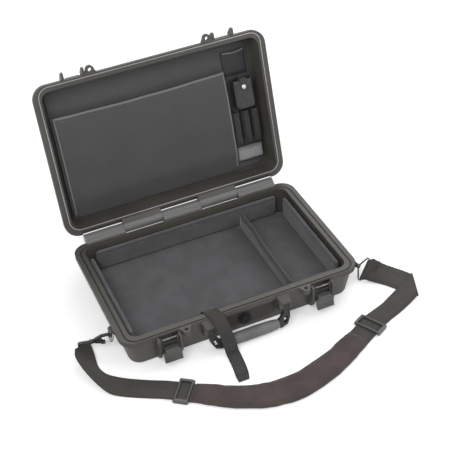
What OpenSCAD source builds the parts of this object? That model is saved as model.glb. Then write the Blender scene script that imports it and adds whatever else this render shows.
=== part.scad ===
// Laptop hard case: moulded base and lid with a sealed rim, double-throw latches, a swinging
// handle, padded liner, lid organizer and a detachable padded shoulder strap.
// Origin: centre of the base's bottom face. X to the right, -Y to the latches, +Z up. Millimetres.
// The lid stands open, the latches and the handle hang, and the strap lies on the floor.

/* [Case] */
// Width over the rim flange
case_w = 495; // [470:1:520]
// Depth over the rim flange
case_d = 322; // [300:1:345]
// Height of the base, floor to parting plane
base_h = 70; // [64:1:80]
// Height of the lid, parting plane to top
lid_h = 49; // [46:1:60]
// Corner radius of the rim flange
rim_r = 30; // [24:1:36]
// Height of the rim flange on each half
flange_h = 11; // [9:0.5:13]
// Overhang of the flange beyond the side walls
side_step = 8; // [5:0.5:11]
// Overhang of the flange beyond the front and back walls
front_step = 2.5; // [1:0.5:4]
// Draft of the walls, inward travel from flange to floor
draft = 8; // [4:0.5:10]
// Width of the rim at the sides, flange edge to the inside
rim_side = 21; // [19.5:0.5:36]
// Width of the rim at the front and the back, flange edge to the inside
rim_front = 16; // [15:0.5:25]
// Thickness of the base's floor and the lid's top
floor_t = 4; // [3:0.5:6]
// Gap between the two rims when shut
rim_gap = 0.4; // [0.3:0.1:1]

/* [Seal] */
// Distance of the seal from the flange's side edge
seal_side = 11.5; // [9:0.5:13]
// Distance of the seal from the flange's front edge
seal_front = 3.8; // [3:0.1:5]
// Width of the seal groove
groove_w = 3; // [2.5:0.1:4]
// Depth of the seal groove
groove_t = 3.5; // [3:0.1:5]

/* [Hinge] */
// Angle at which the lid stands open
open_deg = 105.5; // [90:0.5:110]
// Distance of the hinge axis behind the flange
hinge_back = 11.5; // [11.5:0.5:14]
// Radius of the hinge knuckles
knuckle_r = 11; // [9:0.5:11]
// Distance of the hinge's ends from the flange's side edges
hinge_in = 33.5; // [31:0.5:60]
// Number of knuckles, base knuckles at both ends
knuckles = 5; // [3:2:9]
// Gap between two knuckles
knuckle_gap = 0.5; // [0.3:0.1:1]
// Diameter of the hinge pin
hinge_pin_d = 4; // [3:0.5:5]

/* [Latches] */
// Distance of each latch's middle from the case's middle
latch_x = 159; // [150:1:165]
// Clear width between a latch's two ribs
latch_gap = 37.5; // [34:0.5:40]
// Width of the ribs beside a latch
rib_w = 4.5; // [3:0.5:6]
// Distance of the latch rod outside the flange edge
rod_out = 6; // [5:0.5:8]
// Depth of the latch rod below the parting plane
rod_drop = 10; // [8:0.5:13]
// Diameter of the latch rod
rod_d = 4; // [3:0.5:5]
// Length of the latch link, rod to lever pin
link_l = 24; // [22:0.5:26]
// Angle that a latch swings from hanging to shut
latch_swing = 170; // [165:1:172]
// Diameter of the lever pin
lever_pin_d = 3.2; // [2.5:0.1:4]
// Length of the lever's tail below its pin
tail_l = 20; // [16:0.5:20]
// Reach of the lever's hook towards the case
hook_reach = 9; // [8:0.5:9.5]

/* [Padlock tabs] */
// Distance of each padlock hole from the case's middle
tab_x = 124; // [118:1:126]
// Diameter of the padlock holes
padlock_d = 8; // [6:0.5:9]
// Distance of the padlock holes outside the flange edge
padlock_out = 7.5; // [6:0.5:9]

/* [Handle] */
// Distance of each handle pin's middle from the case's middle
handle_x = 78; // [74:1:82]
// Width of the handle's eyes
eye_w = 13; // [11:0.5:15]
// Height of the handle pins above the floor
handle_z = 46; // [44:1:48]
// Distance of the handle pins outside the flange edge
handle_out = 8; // [7:0.5:10]
// Diameter of the handle pins
handle_pin_d = 5; // [4:0.5:6]
// Distance from the handle pins to the grip's middle
handle_drop = 33; // [30:0.5:34]
// Angle at which the handle hangs away from the case
handle_rest = 20; // [18:1:25]
// Length of the soft grip
grip_l = 116; // [100:1:120]
// Diameter of the grip at its middle
grip_d = 24; // [20:0.5:25]
// Diameter of the handle's bar inside the grip
bar_d = 13; // [10:0.5:16]

/* [Pressure valve] */
// Diameter of the valve's flange
valve_d = 27; // [22:1:30]
// Diameter of the valve's knob
valve_knob_d = 18; // [14:1:20]
// Length of the valve's knob
valve_knob_l = 6.5; // [5:0.5:7]
// Height of the valve above the floor
valve_z = 30; // [27:1:33]

/* [Strap rings] */
// Distance of the ring lugs in front of the case's middle
ring_y = 90; // [80:1:100]
// Height of the ring lugs' bores
ring_z = 52; // [50:1:54]
// Diameter of the ring wire
ring_wire = 3; // [2.5:0.1:3.5]
// Width of a ring between its legs' middles
ring_w = 22; // [20:1:26]
// Length of a ring's straight legs
ring_leg = 8; // [7:0.5:10]
// Angle at which a ring hangs away from the wall
ring_tilt = 17; // [12:1:20]

/* [Shoulder strap] */
// Width of the shoulder webbing
web_w = 44; // [44:1:50]
// Thickness of the webbing
web_t = 2; // [1.6:0.1:2.4]
// Thickness of the shoulder pad
pad_t = 11; // [8:0.5:14]
// Width of the pad's ends
pad_end_w = 45; // [44:1:50]
// Width of the pad's middle
pad_mid_w = 63; // [56:1:70]
// Length of a strap adjuster along the webbing
slider_l = 30; // [26:1:34]
// Side rail width of a strap adjuster
slider_rail = 4.5; // [3:0.5:6]
// Distance of a bail's bar from the middle of its hook's loop
bail_far = 51; // [49:1:60]
// Radius of a bail's wire
bail_r = 1.6; // [1.3:0.1:2]
// Width of the hold-down strap
hold_w = 26; // [24:1:30]

/* [Liner] */
// Thickness of the padded liner walls
liner_t = 9; // [6:0.5:10]
// Thickness of the padded liner floor
liner_floor_t = 8; // [6:0.5:10]
// Distance of the liner walls' top below the parting plane
liner_drop = 8; // [6:0.5:16]
// Place of the divider's middle from the case's middle
divider_x = 118; // [100:1:125]
// Thickness of the divider
divider_t = 11; // [8:0.5:14]

/* [Organizer] */
// Thickness of the organizer's backing panel
panel_t = 3; // [2:0.5:4]
// Thickness of the pocket cloth
cloth_t = 2; // [1.6:0.1:2.4]
// Gap between the pockets and the panel's side edges, together
doc_side = 5; // [4.5:0.5:16]
// Place of the document pocket's mouth in front of the panel's middle
doc_mouth = 82; // [70:1:90]
// Depth of the document pocket's bag
doc_t = 20; // [14:0.5:22]
// Width of the accessory panel
tool_w = 60; // [56:1:62]
// Length of the accessory panel
tool_l = 186; // [180:1:190]
// Place of the accessory panel's middle behind the organizer's middle
tool_y = 28; // [26:1:30]
// Thickness of the accessory panel
tool_t = 6; // [4:0.5:7]
// Length of the card pocket
card_l = 52; // [46:1:54]
// Place of the card pocket's middle in front of the organizer's middle
card_y = 94; // [93:1:96]
// Thickness of the card pocket
card_t = 5; // [4:0.5:6]
// Width of the phone pouch
pouch_w = 44; // [40:1:50]
// Length of the phone pouch
pouch_l = 62; // [56:1:64]
// Thickness of the phone pouch
pouch_t = 22; // [16:1:23]
// Inside diameter of the pen sleeves
pen_d = 11; // [9:0.5:12]
// Length of the pen sleeves
pen_l = 74; // [60:1:76]
// Length of the band pocket
band_l = 30; // [24:1:31]
// Thickness of the band pocket
band_t = 10; // [8:0.5:12]

/* [Hidden] */
$fn = 48;

eps = 0.01;
fit = 0.05;          // radial clearance of everything that turns on a pin
seat = 0.02;         // radial clearance of a pin in the piece that holds it
clear = 0.3;         // gap between pieces that lie or run beside each other

inner_w = case_w - 2 * rim_side;
inner_d = case_d - 2 * rim_front;
hinge_l = case_w - 2 * hinge_in;
liner_h = base_h - floor_t - liner_drop;
front_y = -case_d / 2;
back_y = case_d / 2;
wall_x = case_w / 2 - side_step;
wall_y = case_d / 2 - front_step;
hinge_y = back_y + hinge_back;
seam_z = base_h;
floor_x = wall_x - draft;
floor_y = wall_y - draft * 1.4;
cave_r = rim_r - 12;
cave_x = inner_w / 2;
cave_y = inner_d / 2;
cave_draft = 4;
rod_y = front_y - rod_out;
rod_z = seam_z - rod_drop;
link_rest = 180 - latch_swing;
lever_z = rod_z + link_l;
pin_y = front_y - handle_out;
recess_y = -cave_y - 4.5;
ring_x = case_w / 2 + 1;

black = [0.20, 0.20, 0.19];
soft_grey = [0.36, 0.36, 0.36];
steel = [0.78, 0.78, 0.76];
web_color = [0.27, 0.25, 0.24];

// ---- shared shapes ----

// Flat rectangle with round corners
module round_rect(w, d, r) {
    square([w - 2 * r, d], center = true);
    square([w, d - 2 * r], center = true);
    for (sx = [-1, 1], sy = [-1, 1])
        translate([sx * (w / 2 - r), sy * (d / 2 - r)]) circle(r);
}

// Slab with round corners standing on z
module slab(w, d, r, z, h) {
    translate([0, 0, z]) linear_extrude(h) round_rect(w, d, r);
}

// Extrudes a [y, z] outline along X from x0 over a width w
module along_x(x0, w) {
    translate([x0, 0, 0]) rotate([90, 0, 90]) linear_extrude(w) children();
}

// Extrudes an [x, z] outline along Y, centred on the plane y = 0
module along_y(w) {
    translate([0, w / 2, 0]) rotate([90, 0, 0]) linear_extrude(w) children();
}

// Cylinder along X, centred
module bar_x(r, l) {
    rotate([0, 90, 0]) cylinder(r = r, h = l, center = true);
}

// Cylinder along Y, centred
module bar_y(r, l) {
    rotate([90, 0, 0]) cylinder(r = r, h = l, center = true);
}

// Solid tub through [z, half width, half depth, corner radius] levels
module tub(levels) {
    hull()
        for (v = levels, sx = [-1, 1], sy = [-1, 1])
            translate([sx * (v[1] - v[3]), sy * (v[2] - v[3]), v[0]])
                cylinder(r = v[3], h = eps, $fn = 32);
}

// Two round ends joined by straight sides, along X from 0 to l
module stadium(r, l) {
    circle(r);
    translate([l, 0]) circle(r);
    translate([0, -r]) square([l, 2 * r]);
}

// Places children on the left and on the right, the left one mirrored
module both_sides() {
    children();
    mirror([1, 0, 0]) children();
}

// Turns lid pieces from the shut pose to the open one
module opened() {
    translate([0, hinge_y, seam_z]) rotate([-open_deg, 0, 0]) translate([0, -hinge_y, -seam_z])
        children();
}

// ---- shell halves ----

// Outer form of the base below its flange
module base_body() {
    tub([
        [0, floor_x - 5, floor_y - 5, rim_r - 11],
        [1.4, floor_x - 1.6, floor_y - 1.6, rim_r - 8],
        [5, floor_x, floor_y, rim_r - 6.5],
        [base_h - flange_h + 1, wall_x, wall_y, rim_r - 3]
    ]);
}

// Hollow of the base
module base_cave() {
    tub([
        [floor_t, cave_x - cave_draft, cave_y - cave_draft, cave_r - 6],
        [floor_t + 5, cave_x - 2, cave_y - 2, cave_r - 2],
        [base_h + 1, cave_x, cave_y, cave_r]
    ]);
}

// Path of the seal round the rim, as a flat ring of the given width
module seal_ring(w) {
    seal_w = case_w - 2 * seal_side;
    y_front = front_y + seal_front;
    y_back = cave_y + 3;
    translate([0, (y_front + y_back) / 2])
        difference() {
            round_rect(seal_w + w, y_back - y_front + w, rim_r - 8 + w / 2);
            round_rect(seal_w - w, y_back - y_front - w, rim_r - 8 - w / 2);
        }
}

// Outline of a knuckle with its ramp down to the rim; side = 1 for the base, -1 for the lid
module knuckle_outline(r, reach, side) {
    turn = acos(r / reach);
    circle(r);
    polygon([
        [-reach, 0],
        [-r * cos(turn), side * r * sin(turn)],
        [0, 0],
        [0, -side * r],
        [-reach, -side * r]
    ]);
}

knuckle_reach = hinge_back + 7.5;
knuckle_l = hinge_l / knuckles;

// Knuckles of one half: first = 0 for the base's, 1 for the lid's
module knuckle_row(first, side) {
    for (k = [first:2:knuckles - 1])
        translate([-hinge_l / 2 + k * knuckle_l + knuckle_gap / 2, hinge_y, seam_z])
            along_x(0, knuckle_l - knuckle_gap) knuckle_outline(knuckle_r, knuckle_reach, side);
}

// Room that the other half's knuckles need
module knuckle_room(first, side) {
    for (k = [first:2:knuckles - 1])
        translate([-hinge_l / 2 + k * knuckle_l - knuckle_gap / 2, hinge_y, seam_z])
            along_x(0, knuckle_l + knuckle_gap)
                knuckle_outline(knuckle_r + knuckle_gap, knuckle_reach + knuckle_gap, side);
}

module hinge_bore() {
    translate([0, hinge_y, seam_z]) bar_x(hinge_pin_d / 2 + fit, hinge_l + 2);
}

// Side ribs that carry the latch rod
module latch_ribs() {
    for (s = [-1, 1])
        along_x(latch_x + s * (latch_gap + rib_w) / 2 - rib_w / 2, rib_w)
            polygon([
                [recess_y + 1, seam_z - 4], [front_y, seam_z - 4], [rod_y - 4.5, seam_z - 5],
                [rod_y - 6.5, rod_z], [rod_y - 6.5, 26], [rod_y, 17], [recess_y + 2, 6]
            ]);
}

// Outline of a padlock tab from above
module tab_outline() {
    r = padlock_d / 2 + 4.5;
    translate([tab_x, front_y - padlock_out]) circle(r);
    polygon([
        [tab_x - 13, front_y + 6], [tab_x - 13, front_y],
        [tab_x - r, front_y - padlock_out], [tab_x + r, front_y - padlock_out],
        [tab_x + 13, front_y], [tab_x + 13, front_y + 6]
    ]);
}

module padlock_hole(z, h) {
    translate([tab_x, front_y - padlock_out, z]) cylinder(d = padlock_d, h = h);
}

hood_w = eye_w + 2 * clear + 2 * 6.5;
hood_top = seam_z - 3.5;

// Hood and cheeks that carry a handle pin
module handle_hood() {
    intersection() {
        along_x(handle_x - hood_w / 2, hood_w)
            polygon([
                [recess_y + 1, hood_top], [front_y, hood_top], [pin_y - 8, handle_z + 12],
                [pin_y - 8, handle_z + 8.5], [front_y - 1, handle_z + 15], [recess_y + 1, handle_z + 15]
            ]);
        linear_extrude(base_h)
            polygon([
                [handle_x - hood_w / 2, recess_y + 2], [handle_x - hood_w / 2, front_y - 2],
                [handle_x - hood_w / 2 + 3.5, pin_y - 9], [handle_x + hood_w / 2 - 3.5, pin_y - 9],
                [handle_x + hood_w / 2, front_y - 2], [handle_x + hood_w / 2, recess_y + 2]
            ]);
    }
    for (s = [-1, 1])
        along_x(handle_x + s * (eye_w / 2 + clear + 3.25) - 3.25, 6.5)
            union() {
                translate([pin_y, handle_z]) circle(7.5);
                polygon([
                    [recess_y + 1, handle_z + 16], [pin_y - 2, handle_z + 12],
                    [pin_y - 7.3, handle_z + 2], [pin_y, handle_z - 7.5], [recess_y + 1, handle_z - 16]
                ]);
            }
}

// Lug on a side wall with the bore for a strap ring
module ring_lug() {
    translate([0, -ring_y, 0])
        along_y(ring_w - ring_wire - 1.5)
            union() {
                translate([ring_x, ring_z]) circle(4.5);
                polygon([
                    [wall_x - 7, ring_z + 6], [ring_x, ring_z + 4.5],
                    [ring_x + 3, ring_z - 3.4], [wall_x - 9, ring_z - 11]
                ]);
            }
}

// Shallow channels that stiffen the large faces
module face_channels(z) {
    for (s = [-1, 1])
        translate([s * 105, 0, z]) linear_extrude(2.4, center = true)
            difference() {
                round_rect(150, 190, 16);
                round_rect(138, 178, 10);
            }
}

module base_shell() color(black) {
    difference() {
        union() {
            base_body();
            slab(case_w, case_d, rim_r, base_h - flange_h, flange_h);
            knuckle_row(0, 1);
            translate([0, 0, base_h - flange_h])
                linear_extrude(flange_h) both_sides() tab_outline();
        }
        base_cave();
        translate([0, 0, base_h - groove_t]) linear_extrude(groove_t + 1) seal_ring(groove_w);
        knuckle_room(1, -1);
        hinge_bore();
        both_sides() padlock_hole(base_h - flange_h - 1, flange_h + 2);
        // recess behind each latch
        both_sides()
            along_x(latch_x - latch_gap / 2, latch_gap)
                polygon([
                    [recess_y, seam_z - 5], [front_y - 1, seam_z - 5],
                    [front_y - 1, 4], [recess_y, 10]
                ]);
        // hand recess behind the handle
        along_x(-handle_x + hood_w / 2 + 1, 2 * handle_x - hood_w - 2)
            polygon([
                [recess_y, seam_z - 20], [front_y - 1, seam_z - 15], [front_y - 1, 6], [recess_y, 6]
            ]);
        translate([0, recess_y, valve_z]) bar_y(5, 30);
        face_channels(0);
    }
    difference() {
        both_sides() union() {
            latch_ribs();
            handle_hood();
            ring_lug();
        }
        base_cave();
        both_sides() {
            translate([latch_x, rod_y, rod_z]) bar_x(rod_d / 2 + seat, latch_gap + 3 * rib_w);
            translate([handle_x, pin_y, handle_z]) bar_x(handle_pin_d / 2 + seat, hood_w + 2);
            translate([ring_x, -ring_y, ring_z]) bar_y(ring_wire / 2 + fit, ring_w);
        }
    }
}

module rim_seal() color([0.07, 0.07, 0.07])
    translate([0, 0, base_h - groove_t]) linear_extrude(groove_t - 1.5) seal_ring(groove_w - 0.5);

module latch_rods() color(steel)
    both_sides() translate([latch_x, rod_y, rod_z]) bar_x(rod_d / 2, latch_gap + 2 * rib_w - 0.5);

module handle_pins() color(steel)
    both_sides() translate([handle_x, pin_y, handle_z]) bar_x(handle_pin_d / 2, hood_w - 0.4);

module hinge_pin() color(steel)
    translate([0, hinge_y, seam_z]) bar_x(hinge_pin_d / 2, hinge_l - 0.6);

// ---- pressure valve ----

module valve_body() color(black)
    translate([0, recess_y, valve_z]) {
        translate([0, 2, 0]) bar_y(5 - seat, 4);
        difference() {
            translate([0, -1.25, 0]) bar_y(valve_d / 2, 2.5);
            for (a = [0:60:300]) rotate([0, a, 0]) translate([valve_d / 2 - 2, -2, 0]) bar_y(1, 3);
        }
        translate([0, -4.5, 0]) bar_y(3, 6);
    }

module valve_knob() color(black)
    translate([0, recess_y - 2.5 - clear - valve_knob_l / 2, valve_z])
        difference() {
            bar_y(valve_knob_d / 2, valve_knob_l);
            translate([0, 1, 0]) bar_y(3 + fit, valve_knob_l);
            for (a = [0:30:330]) rotate([0, a, 0]) translate([valve_knob_d / 2 + 0.6, 0, 0])
                bar_y(1.5, valve_knob_l + 1);
            translate([0, -valve_knob_l / 2, 0]) cube([valve_knob_d - 5, 2, 2.4], center = true);
        }

// ---- liner ----

liner_x = cave_x - cave_draft - 0.5;
liner_y = cave_y - cave_draft - 0.5;
liner_z = floor_t + liner_floor_t + clear;

module liner_floor() color(soft_grey)
    slab(2 * liner_x, 2 * liner_y, cave_r - 5, floor_t + 0.1, liner_floor_t);

// Padded wall with a rounded top edge, lying along X
module liner_wall(l) {
    h = floor_t + liner_h - liner_z;
    rotate([90, 0, 90]) linear_extrude(l, center = true)
        union() {
            translate([-liner_t / 2, 0]) square([liner_t, h - liner_t / 2]);
            translate([0, h - liner_t / 2]) circle(liner_t / 2);
        }
}

module liner_front() color(soft_grey)
    translate([0, -liner_y + liner_t / 2, liner_z]) liner_wall(2 * (liner_x - cave_r));

module liner_back() color(soft_grey)
    translate([0, liner_y - liner_t / 2, liner_z]) liner_wall(2 * (liner_x - cave_r));

module side_liner() {
    translate([liner_x - liner_t / 2, 0, liner_z]) rotate([0, 0, 90])
        liner_wall(2 * (liner_y - max(cave_r, liner_t + clear)));
}

module liner_left() color(soft_grey) mirror([1, 0, 0]) side_liner();

module liner_right() color(soft_grey) side_liner();

module divider() color(soft_grey)
    translate([divider_x, 0, liner_z])
        rotate([0, 90, 0]) rotate([0, 0, 90]) linear_extrude(divider_t, center = true)
            polygon([
                [-(liner_y - liner_t - clear), 0], [liner_y - liner_t - clear, 0],
                [liner_y - liner_t - clear, liner_h - 18], [60, liner_h - 14], [0, liner_h - 22],
                [-(liner_y - liner_t - clear), liner_h - 22]
            ]);

// ---- webbing ----

// One coordinate of a smooth curve through four values
function blend(a, b, c, d, t) =
    0.5 * (2 * b + (c - a) * t + (2 * a - 5 * b + 4 * c - d) * t * t
        + (3 * b - a - 3 * c + d) * t * t * t);

// A smooth list of points through p, n steps to each stretch
function smooth(p, n) = concat(
    [for (i = [0:len(p) - 2], k = [0:n - 1])
        blend(p[max(i - 1, 0)], p[i], p[i + 1], p[min(i + 2, len(p) - 1)], k / n)],
    [p[len(p) - 1]]);

function unit(v) = v / norm(v);

// Flat ribbon, t thick, through a list of [left, right] edge points; both faces are split
// along the same diagonal, so that a twisted stretch keeps its thickness
module ribbon(pairs, t) {
    a = [for (p = pairs) p[0]];
    b = [for (p = pairs) p[1]];
    last = len(a) - 1;
    mid = (a + b) / 2;
    pts = [for (i = [0:last])
        let (
            run = mid[min(i + 1, last)] - mid[max(i - 1, 0)],
            up = unit(cross(run, b[i] - a[i])) * t / 2
        )
        each [a[i] - up, b[i] - up, b[i] + up, a[i] + up]];
    sides = [for (i = [0:last - 1], k = [0:3])
        let (p = 4 * i + k, q = 4 * i + (k + 1) % 4)
        each k == 2 ? [[p, p + 4, q + 4], [p, q + 4, q]] : [[p, p + 4, q], [q, p + 4, q + 4]]];
    e = 4 * last;
    polyhedron(pts, concat(sides, [[0, 1, 2], [0, 2, 3], [e, e + 2, e + 1], [e, e + 3, e + 2]]));
}

function turn_x(p, a) = [p[0], p[1] * cos(a) - p[2] * sin(a), p[1] * sin(a) + p[2] * cos(a)];
function turn_y(p, a) = [p[0] * cos(a) + p[2] * sin(a), p[1], p[2] * cos(a) - p[0] * sin(a)];
function turn_z(p, a) = [p[0] * cos(a) - p[1] * sin(a), p[0] * sin(a) + p[1] * cos(a), p[2]];

// Direction in the room of a direction in a bail's own frame
// pose = [middle of the hook's loop, turn, dip, roll of the bail, roll of the hook]
function hook_dir(pose, v) = turn_z(turn_y(turn_x(v, pose[3]), pose[2]), pose[1]);

// Loop of webbing round a bail's bar, as [outer, inner] edge points, leaving towards run
function bail_wrap(pose, run) =
    let (
        mid = pose[0] + hook_dir(pose, [bail_far, 0, 0]),
        u = hook_dir(pose, [0, 1, 0]),
        e1 = unit(run - (run * u) * u),
        e2 = cross(u, e1),
        r = bail_r + clear + web_t / 2,
        loop = concat(
            [mid + e1 * 4 - e2 * r],
            [for (a = [-90:-45:-270]) mid + r * (cos(a) * e1 + sin(a) * e2)],
            [mid + e1 * 4 + e2 * r]
        )
    )
    [for (p = loop) [p + u * web_w / 2, p - u * web_w / 2]];

// [outer, inner] edge points across a flat stretch that runs towards run
function flat_pair(mid, run, z) =
    let (side = [run[1], -run[0]] * web_w / 2)
    [[mid[0] + side[0], mid[1] + side[1], z], [mid[0] - side[0], mid[1] - side[1], z]];

// Side edge, front edge, height and strap ring of the case that the strap's points are given for
drawn_x = 247.5;
drawn_y = -161;
drawn_h = 70;
drawn_ring = 90;

// Point of the strap, moved along with the case's sides, its front and its strap rings
function moved(p) =
    let (share = min(1, max(0, (-p[1] - drawn_ring) / 100)))
    concat(
        [
            p[0] + sign(p[0]) * (case_w / 2 - drawn_x) * min(1, abs(p[0]) / drawn_x),
            p[1] + (front_y - drawn_y) * share + (drawn_ring - ring_y) * (1 - share)
        ],
        len(p) > 2 ? [p[2]] : []
    );

// Pairs of edge points, moved likewise
function moved_pairs(pairs) = [for (p = pairs) [moved(p[0]), moved(p[1])]];

// Middle line of the shoulder pad on the floor
pad_line = [
    for (p = [
        [-156, -263], [-131, -281], [-98, -302], [-62, -320], [-26, -331], [10, -334],
        [46, -330], [84, -319], [120, -305], [154, -289], [186, -272]
    ]) moved(p)
];
pad_first = pad_line[0];
pad_last = pad_line[len(pad_line) - 1];
pad_curve = smooth(pad_line, 3);
pad_in = unit(pad_curve[1] - pad_curve[0]);
pad_out = unit(pad_curve[len(pad_curve) - 1] - pad_curve[len(pad_curve) - 2]);
slide_z = 3.5;
slider_left_at = pad_first - pad_in * (slider_l / 2 + 1.5);
slider_right_at = pad_last + pad_out * (slider_l / 2 + 21);

left_pose = [[-ring_x - 7.3, 2.6 - ring_y, ring_z - 17.3], 152.6, 17.1, 42, -0.7];
right_pose = [[ring_x - 1.1, 0.1 - ring_y, ring_z - 14.5], -55, 13.4, 70, -43.7];

// Stretches of webbing between bail and adjuster, as [outer, inner] edge points
left_run = moved_pairs([
    [[-321, -82, 29], [-288, -88, 5]], [[-326, -97, 27.5], [-290, -104, 2.6]],
    [[-325, -116, 25], [-291, -120, 1.8]], [[-319, -142, 19], [-288, -134, 1.5]],
    [[-308, -170, 10], [-281, -147, 1.4]], [[-294, -196, 4], [-267, -161, 1.4]],
    [[-271, -214, 1.6], [-246, -177, 1.4]], [[-240, -233, 1.6], [-216, -196, 1.6]],
    [[-212, -249.5, 2.6], [-188, -212.5, 2.6]]
]);
right_run = moved_pairs([
    [[304, -113, 31], [277, -142, 5]], [[323, -122, 16], [289, -152, 2.8]],
    [[341, -131, 6], [303, -166, 1.5]], [[355, -143, 1.6], [319, -190, 1.3]]
]);

// Ends of the line along which the right webbing is folded over itself
fold_a = moved([367, -161]);
fold_b = moved([344, -222]);
fold_out = unit([fold_a[1] - fold_b[1], fold_b[0] - fold_a[0]]);
fold_r = web_t / 2 + 0.35;
fold_run = [for (a = [-90:30:90])
    let (v = fold_out * fold_r * (cos(a) - 1), z = 1.3 + fold_r * (1 + sin(a)))
    [[fold_a[0] + v[0], fold_a[1] + v[1], z], [fold_b[0] + v[0], fold_b[1] + v[1], z]]];
right_back_run = moved_pairs([
    [[347, -171.5, 4.1], [334, -227, 3.9]], [[319, -186, 4.1], [313, -237, 2.6]],
    [[297, -197, 3.0], [289, -247, 1.6]], [[268, -211, 1.6], [264, -256, 1.5]]
]);

module webbing_left() color(web_color)
    ribbon(concat(bail_wrap(left_pose, [-8, -16, -3]), smooth(left_run, 2), [
        flat_pair(slider_left_at - pad_in * (slider_l / 2 + 2), pad_in, slide_z),
        flat_pair(slider_left_at, pad_in, slide_z),
        flat_pair(pad_first - pad_in * clear, pad_in, slide_z)
    ]), web_t);

module webbing_right() color(web_color)
    ribbon(concat(
        bail_wrap(right_pose, [18, 1, -7]), smooth(right_run, 2), fold_run,
        smooth(right_back_run, 2), [
            flat_pair(slider_right_at + pad_out * (slider_l / 2 + 2), -pad_out, slide_z),
            flat_pair(slider_right_at, -pad_out, slide_z),
            flat_pair(slider_right_at - pad_out * (slider_l / 2 + 2), -pad_out, slide_z),
            flat_pair(pad_last + pad_out * clear, -pad_out, slide_z)
        ]), web_t);

// Middle line of the hold-down strap, from the liner over the rim and the handle to the floor,
// with its depth counted from the rim's front edge
hold_line = [
    for (p = [
        [-68, 30.9, 20], [-68, 30.9, 44], [-68, 30.8, 58], [-68, 27, 65], [-67, 20, 71],
        [-65, 11, 72.3], [-62, 2, 72], [-60, -5, 69.6], [-58, -13, 64.5], [-56, -21.5, 55],
        [-54, -29.5, 42], [-52, -34.5, 28], [-50, -37, 14], [-49, -40.5, 4.5], [-49, -50, 1.5],
        [-52, -79, 1.4], [-58, -114, 1.4]
    ])
    [p[0], front_y + p[1], p[2] + (base_h - drawn_h) * min(1, p[2] / (drawn_h - 12))]
];

module hold_down_strap() color(web_color)
    ribbon([for (p = smooth(hold_line, 2)) [p - [hold_w / 2, 0, 0], p + [hold_w / 2, 0, 0]]],
        web_t * 0.9);

// Half outline of the pad's cross-section: [share of the half width, share of the thickness]
pad_section = [
    [-1, 0.30], [-0.88, 0.04], [-0.4, 0], [0.4, 0], [0.88, 0.04], [1, 0.30],
    [0.90, 0.72], [0.5, 0.96], [0, 1], [-0.5, 0.96], [-0.90, 0.72]
];

module shoulder_pad() color([0.26, 0.23, 0.24]) {
    line = pad_curve;
    last = len(line) - 1;
    count = len(pad_section);
    pts = [for (i = [0:last])
        let (
            run = unit(line[min(i + 1, last)] - line[max(i - 1, 0)]),
            side = [run[1], -run[0]],
            s = sin(180 * i / last),
            half = (pad_end_w + (pad_mid_w - pad_end_w) * s) / 2,
            t = pad_t * (0.62 + 0.38 * pow(s, 0.35))
        )
        each [for (q = pad_section)
            [line[i][0] + side[0] * q[0] * half, line[i][1] + side[1] * q[0] * half, q[1] * t]]];
    sides = [for (i = [0:last - 1], k = [0:count - 1])
        let (p = count * i + k, q = count * i + (k + 1) % count)
        each [[p, q, p + count], [q, q + count, p + count]]];
    first_cap = [for (k = [1:count - 2]) [0, k + 1, k]];
    e = count * last;
    last_cap = [for (k = [1:count - 2]) [e, e + k, e + k + 1]];
    polyhedron(pts, concat(sides, first_cap, last_cap));
}

// Strap adjuster: round side rails, two end bars over the webbing and a low middle bar
module slider_form() {
    gap = web_w + 2;
    rail_h = 9.2;
    for (s = [-1, 1])
        translate([0, s * (gap + slider_rail) / 2, rail_h / 2])
            along_y(slider_rail) translate([rail_h / 2 - slider_l / 2, 0])
                stadium(rail_h / 2, slider_l - rail_h);
    for (s = [-1, 1])
        translate([s * (slider_l / 2 - 3.2), 0, rail_h - 2.1]) bar_y(2.1, gap + 1);
    translate([0, 0, 1.05]) cube([7, gap + 1, 2.1], center = true);
}

module slider_left() color(black)
    translate(slider_left_at) rotate([0, 0, atan2(pad_in[1], pad_in[0])]) slider_form();

module slider_right() color(black)
    translate(slider_right_at) rotate([0, 0, atan2(pad_out[1], pad_out[0])]) slider_form();

// ---- strap rings, hooks, gates and bails ----

// D-shaped ring hanging from its straight bar on the origin
module ring_form() {
    r = ring_wire / 2;
    bar_y(r, ring_w);
    for (s = [-1, 1]) translate([0, s * ring_w / 2, 0]) {
        sphere(r);
        translate([0, 0, -ring_leg]) cylinder(r = r, h = ring_leg);
    }
    translate([0, 0, -ring_leg]) rotate([0, 90, 0]) rotate([0, 0, -90])
        rotate_extrude(angle = 180) translate([ring_w / 2, 0]) circle(r, $fn = 24);
}

module ring_right() color(steel)
    translate([ring_x, -ring_y, ring_z]) rotate([0, -ring_tilt, 0]) ring_form();

module ring_left() color(steel) mirror([1, 0, 0])
    translate([ring_x, -ring_y, ring_z]) rotate([0, -ring_tilt, 0]) ring_form();

hook_t = 5.5;
gate_x = 13;
gate_z = -8.6;

// Snap hook along X with its nose loop round the origin
module hook_form() {
    difference() {
        union() {
            along_y(hook_t)
                union() {
                    stadium(10.5, 10);
                    polygon([[14, 9.5], [29, 4.5], [29, -4.5], [14, -9.5]]);
                }
            translate([28, 0, 0]) rotate([0, 90, 0]) cylinder(r = 4.5, h = 5);
            translate([32, 0, 0]) rotate([0, 90, 0]) cylinder(r = 2.2, h = 7);
        }
        along_y(hook_t + 1)
            union() {
                stadium(6.5, 8);
                translate([-1.5, -11]) square([gate_x + 1, 5]);
                translate([gate_x, gate_z]) circle(3.2);
            }
    }
    translate([gate_x, 0, gate_z]) bar_y(1.1, hook_t);
    for (s = [-1, 1]) translate([gate_x, s * (hook_t / 2 - 0.6), 0])
        along_y(1.2)
            difference() {
                translate([-3.3, gate_z - 2]) square([8, 6]);
                translate([-9, gate_z - 6]) square([5.5, 12]);
            }
}

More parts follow.
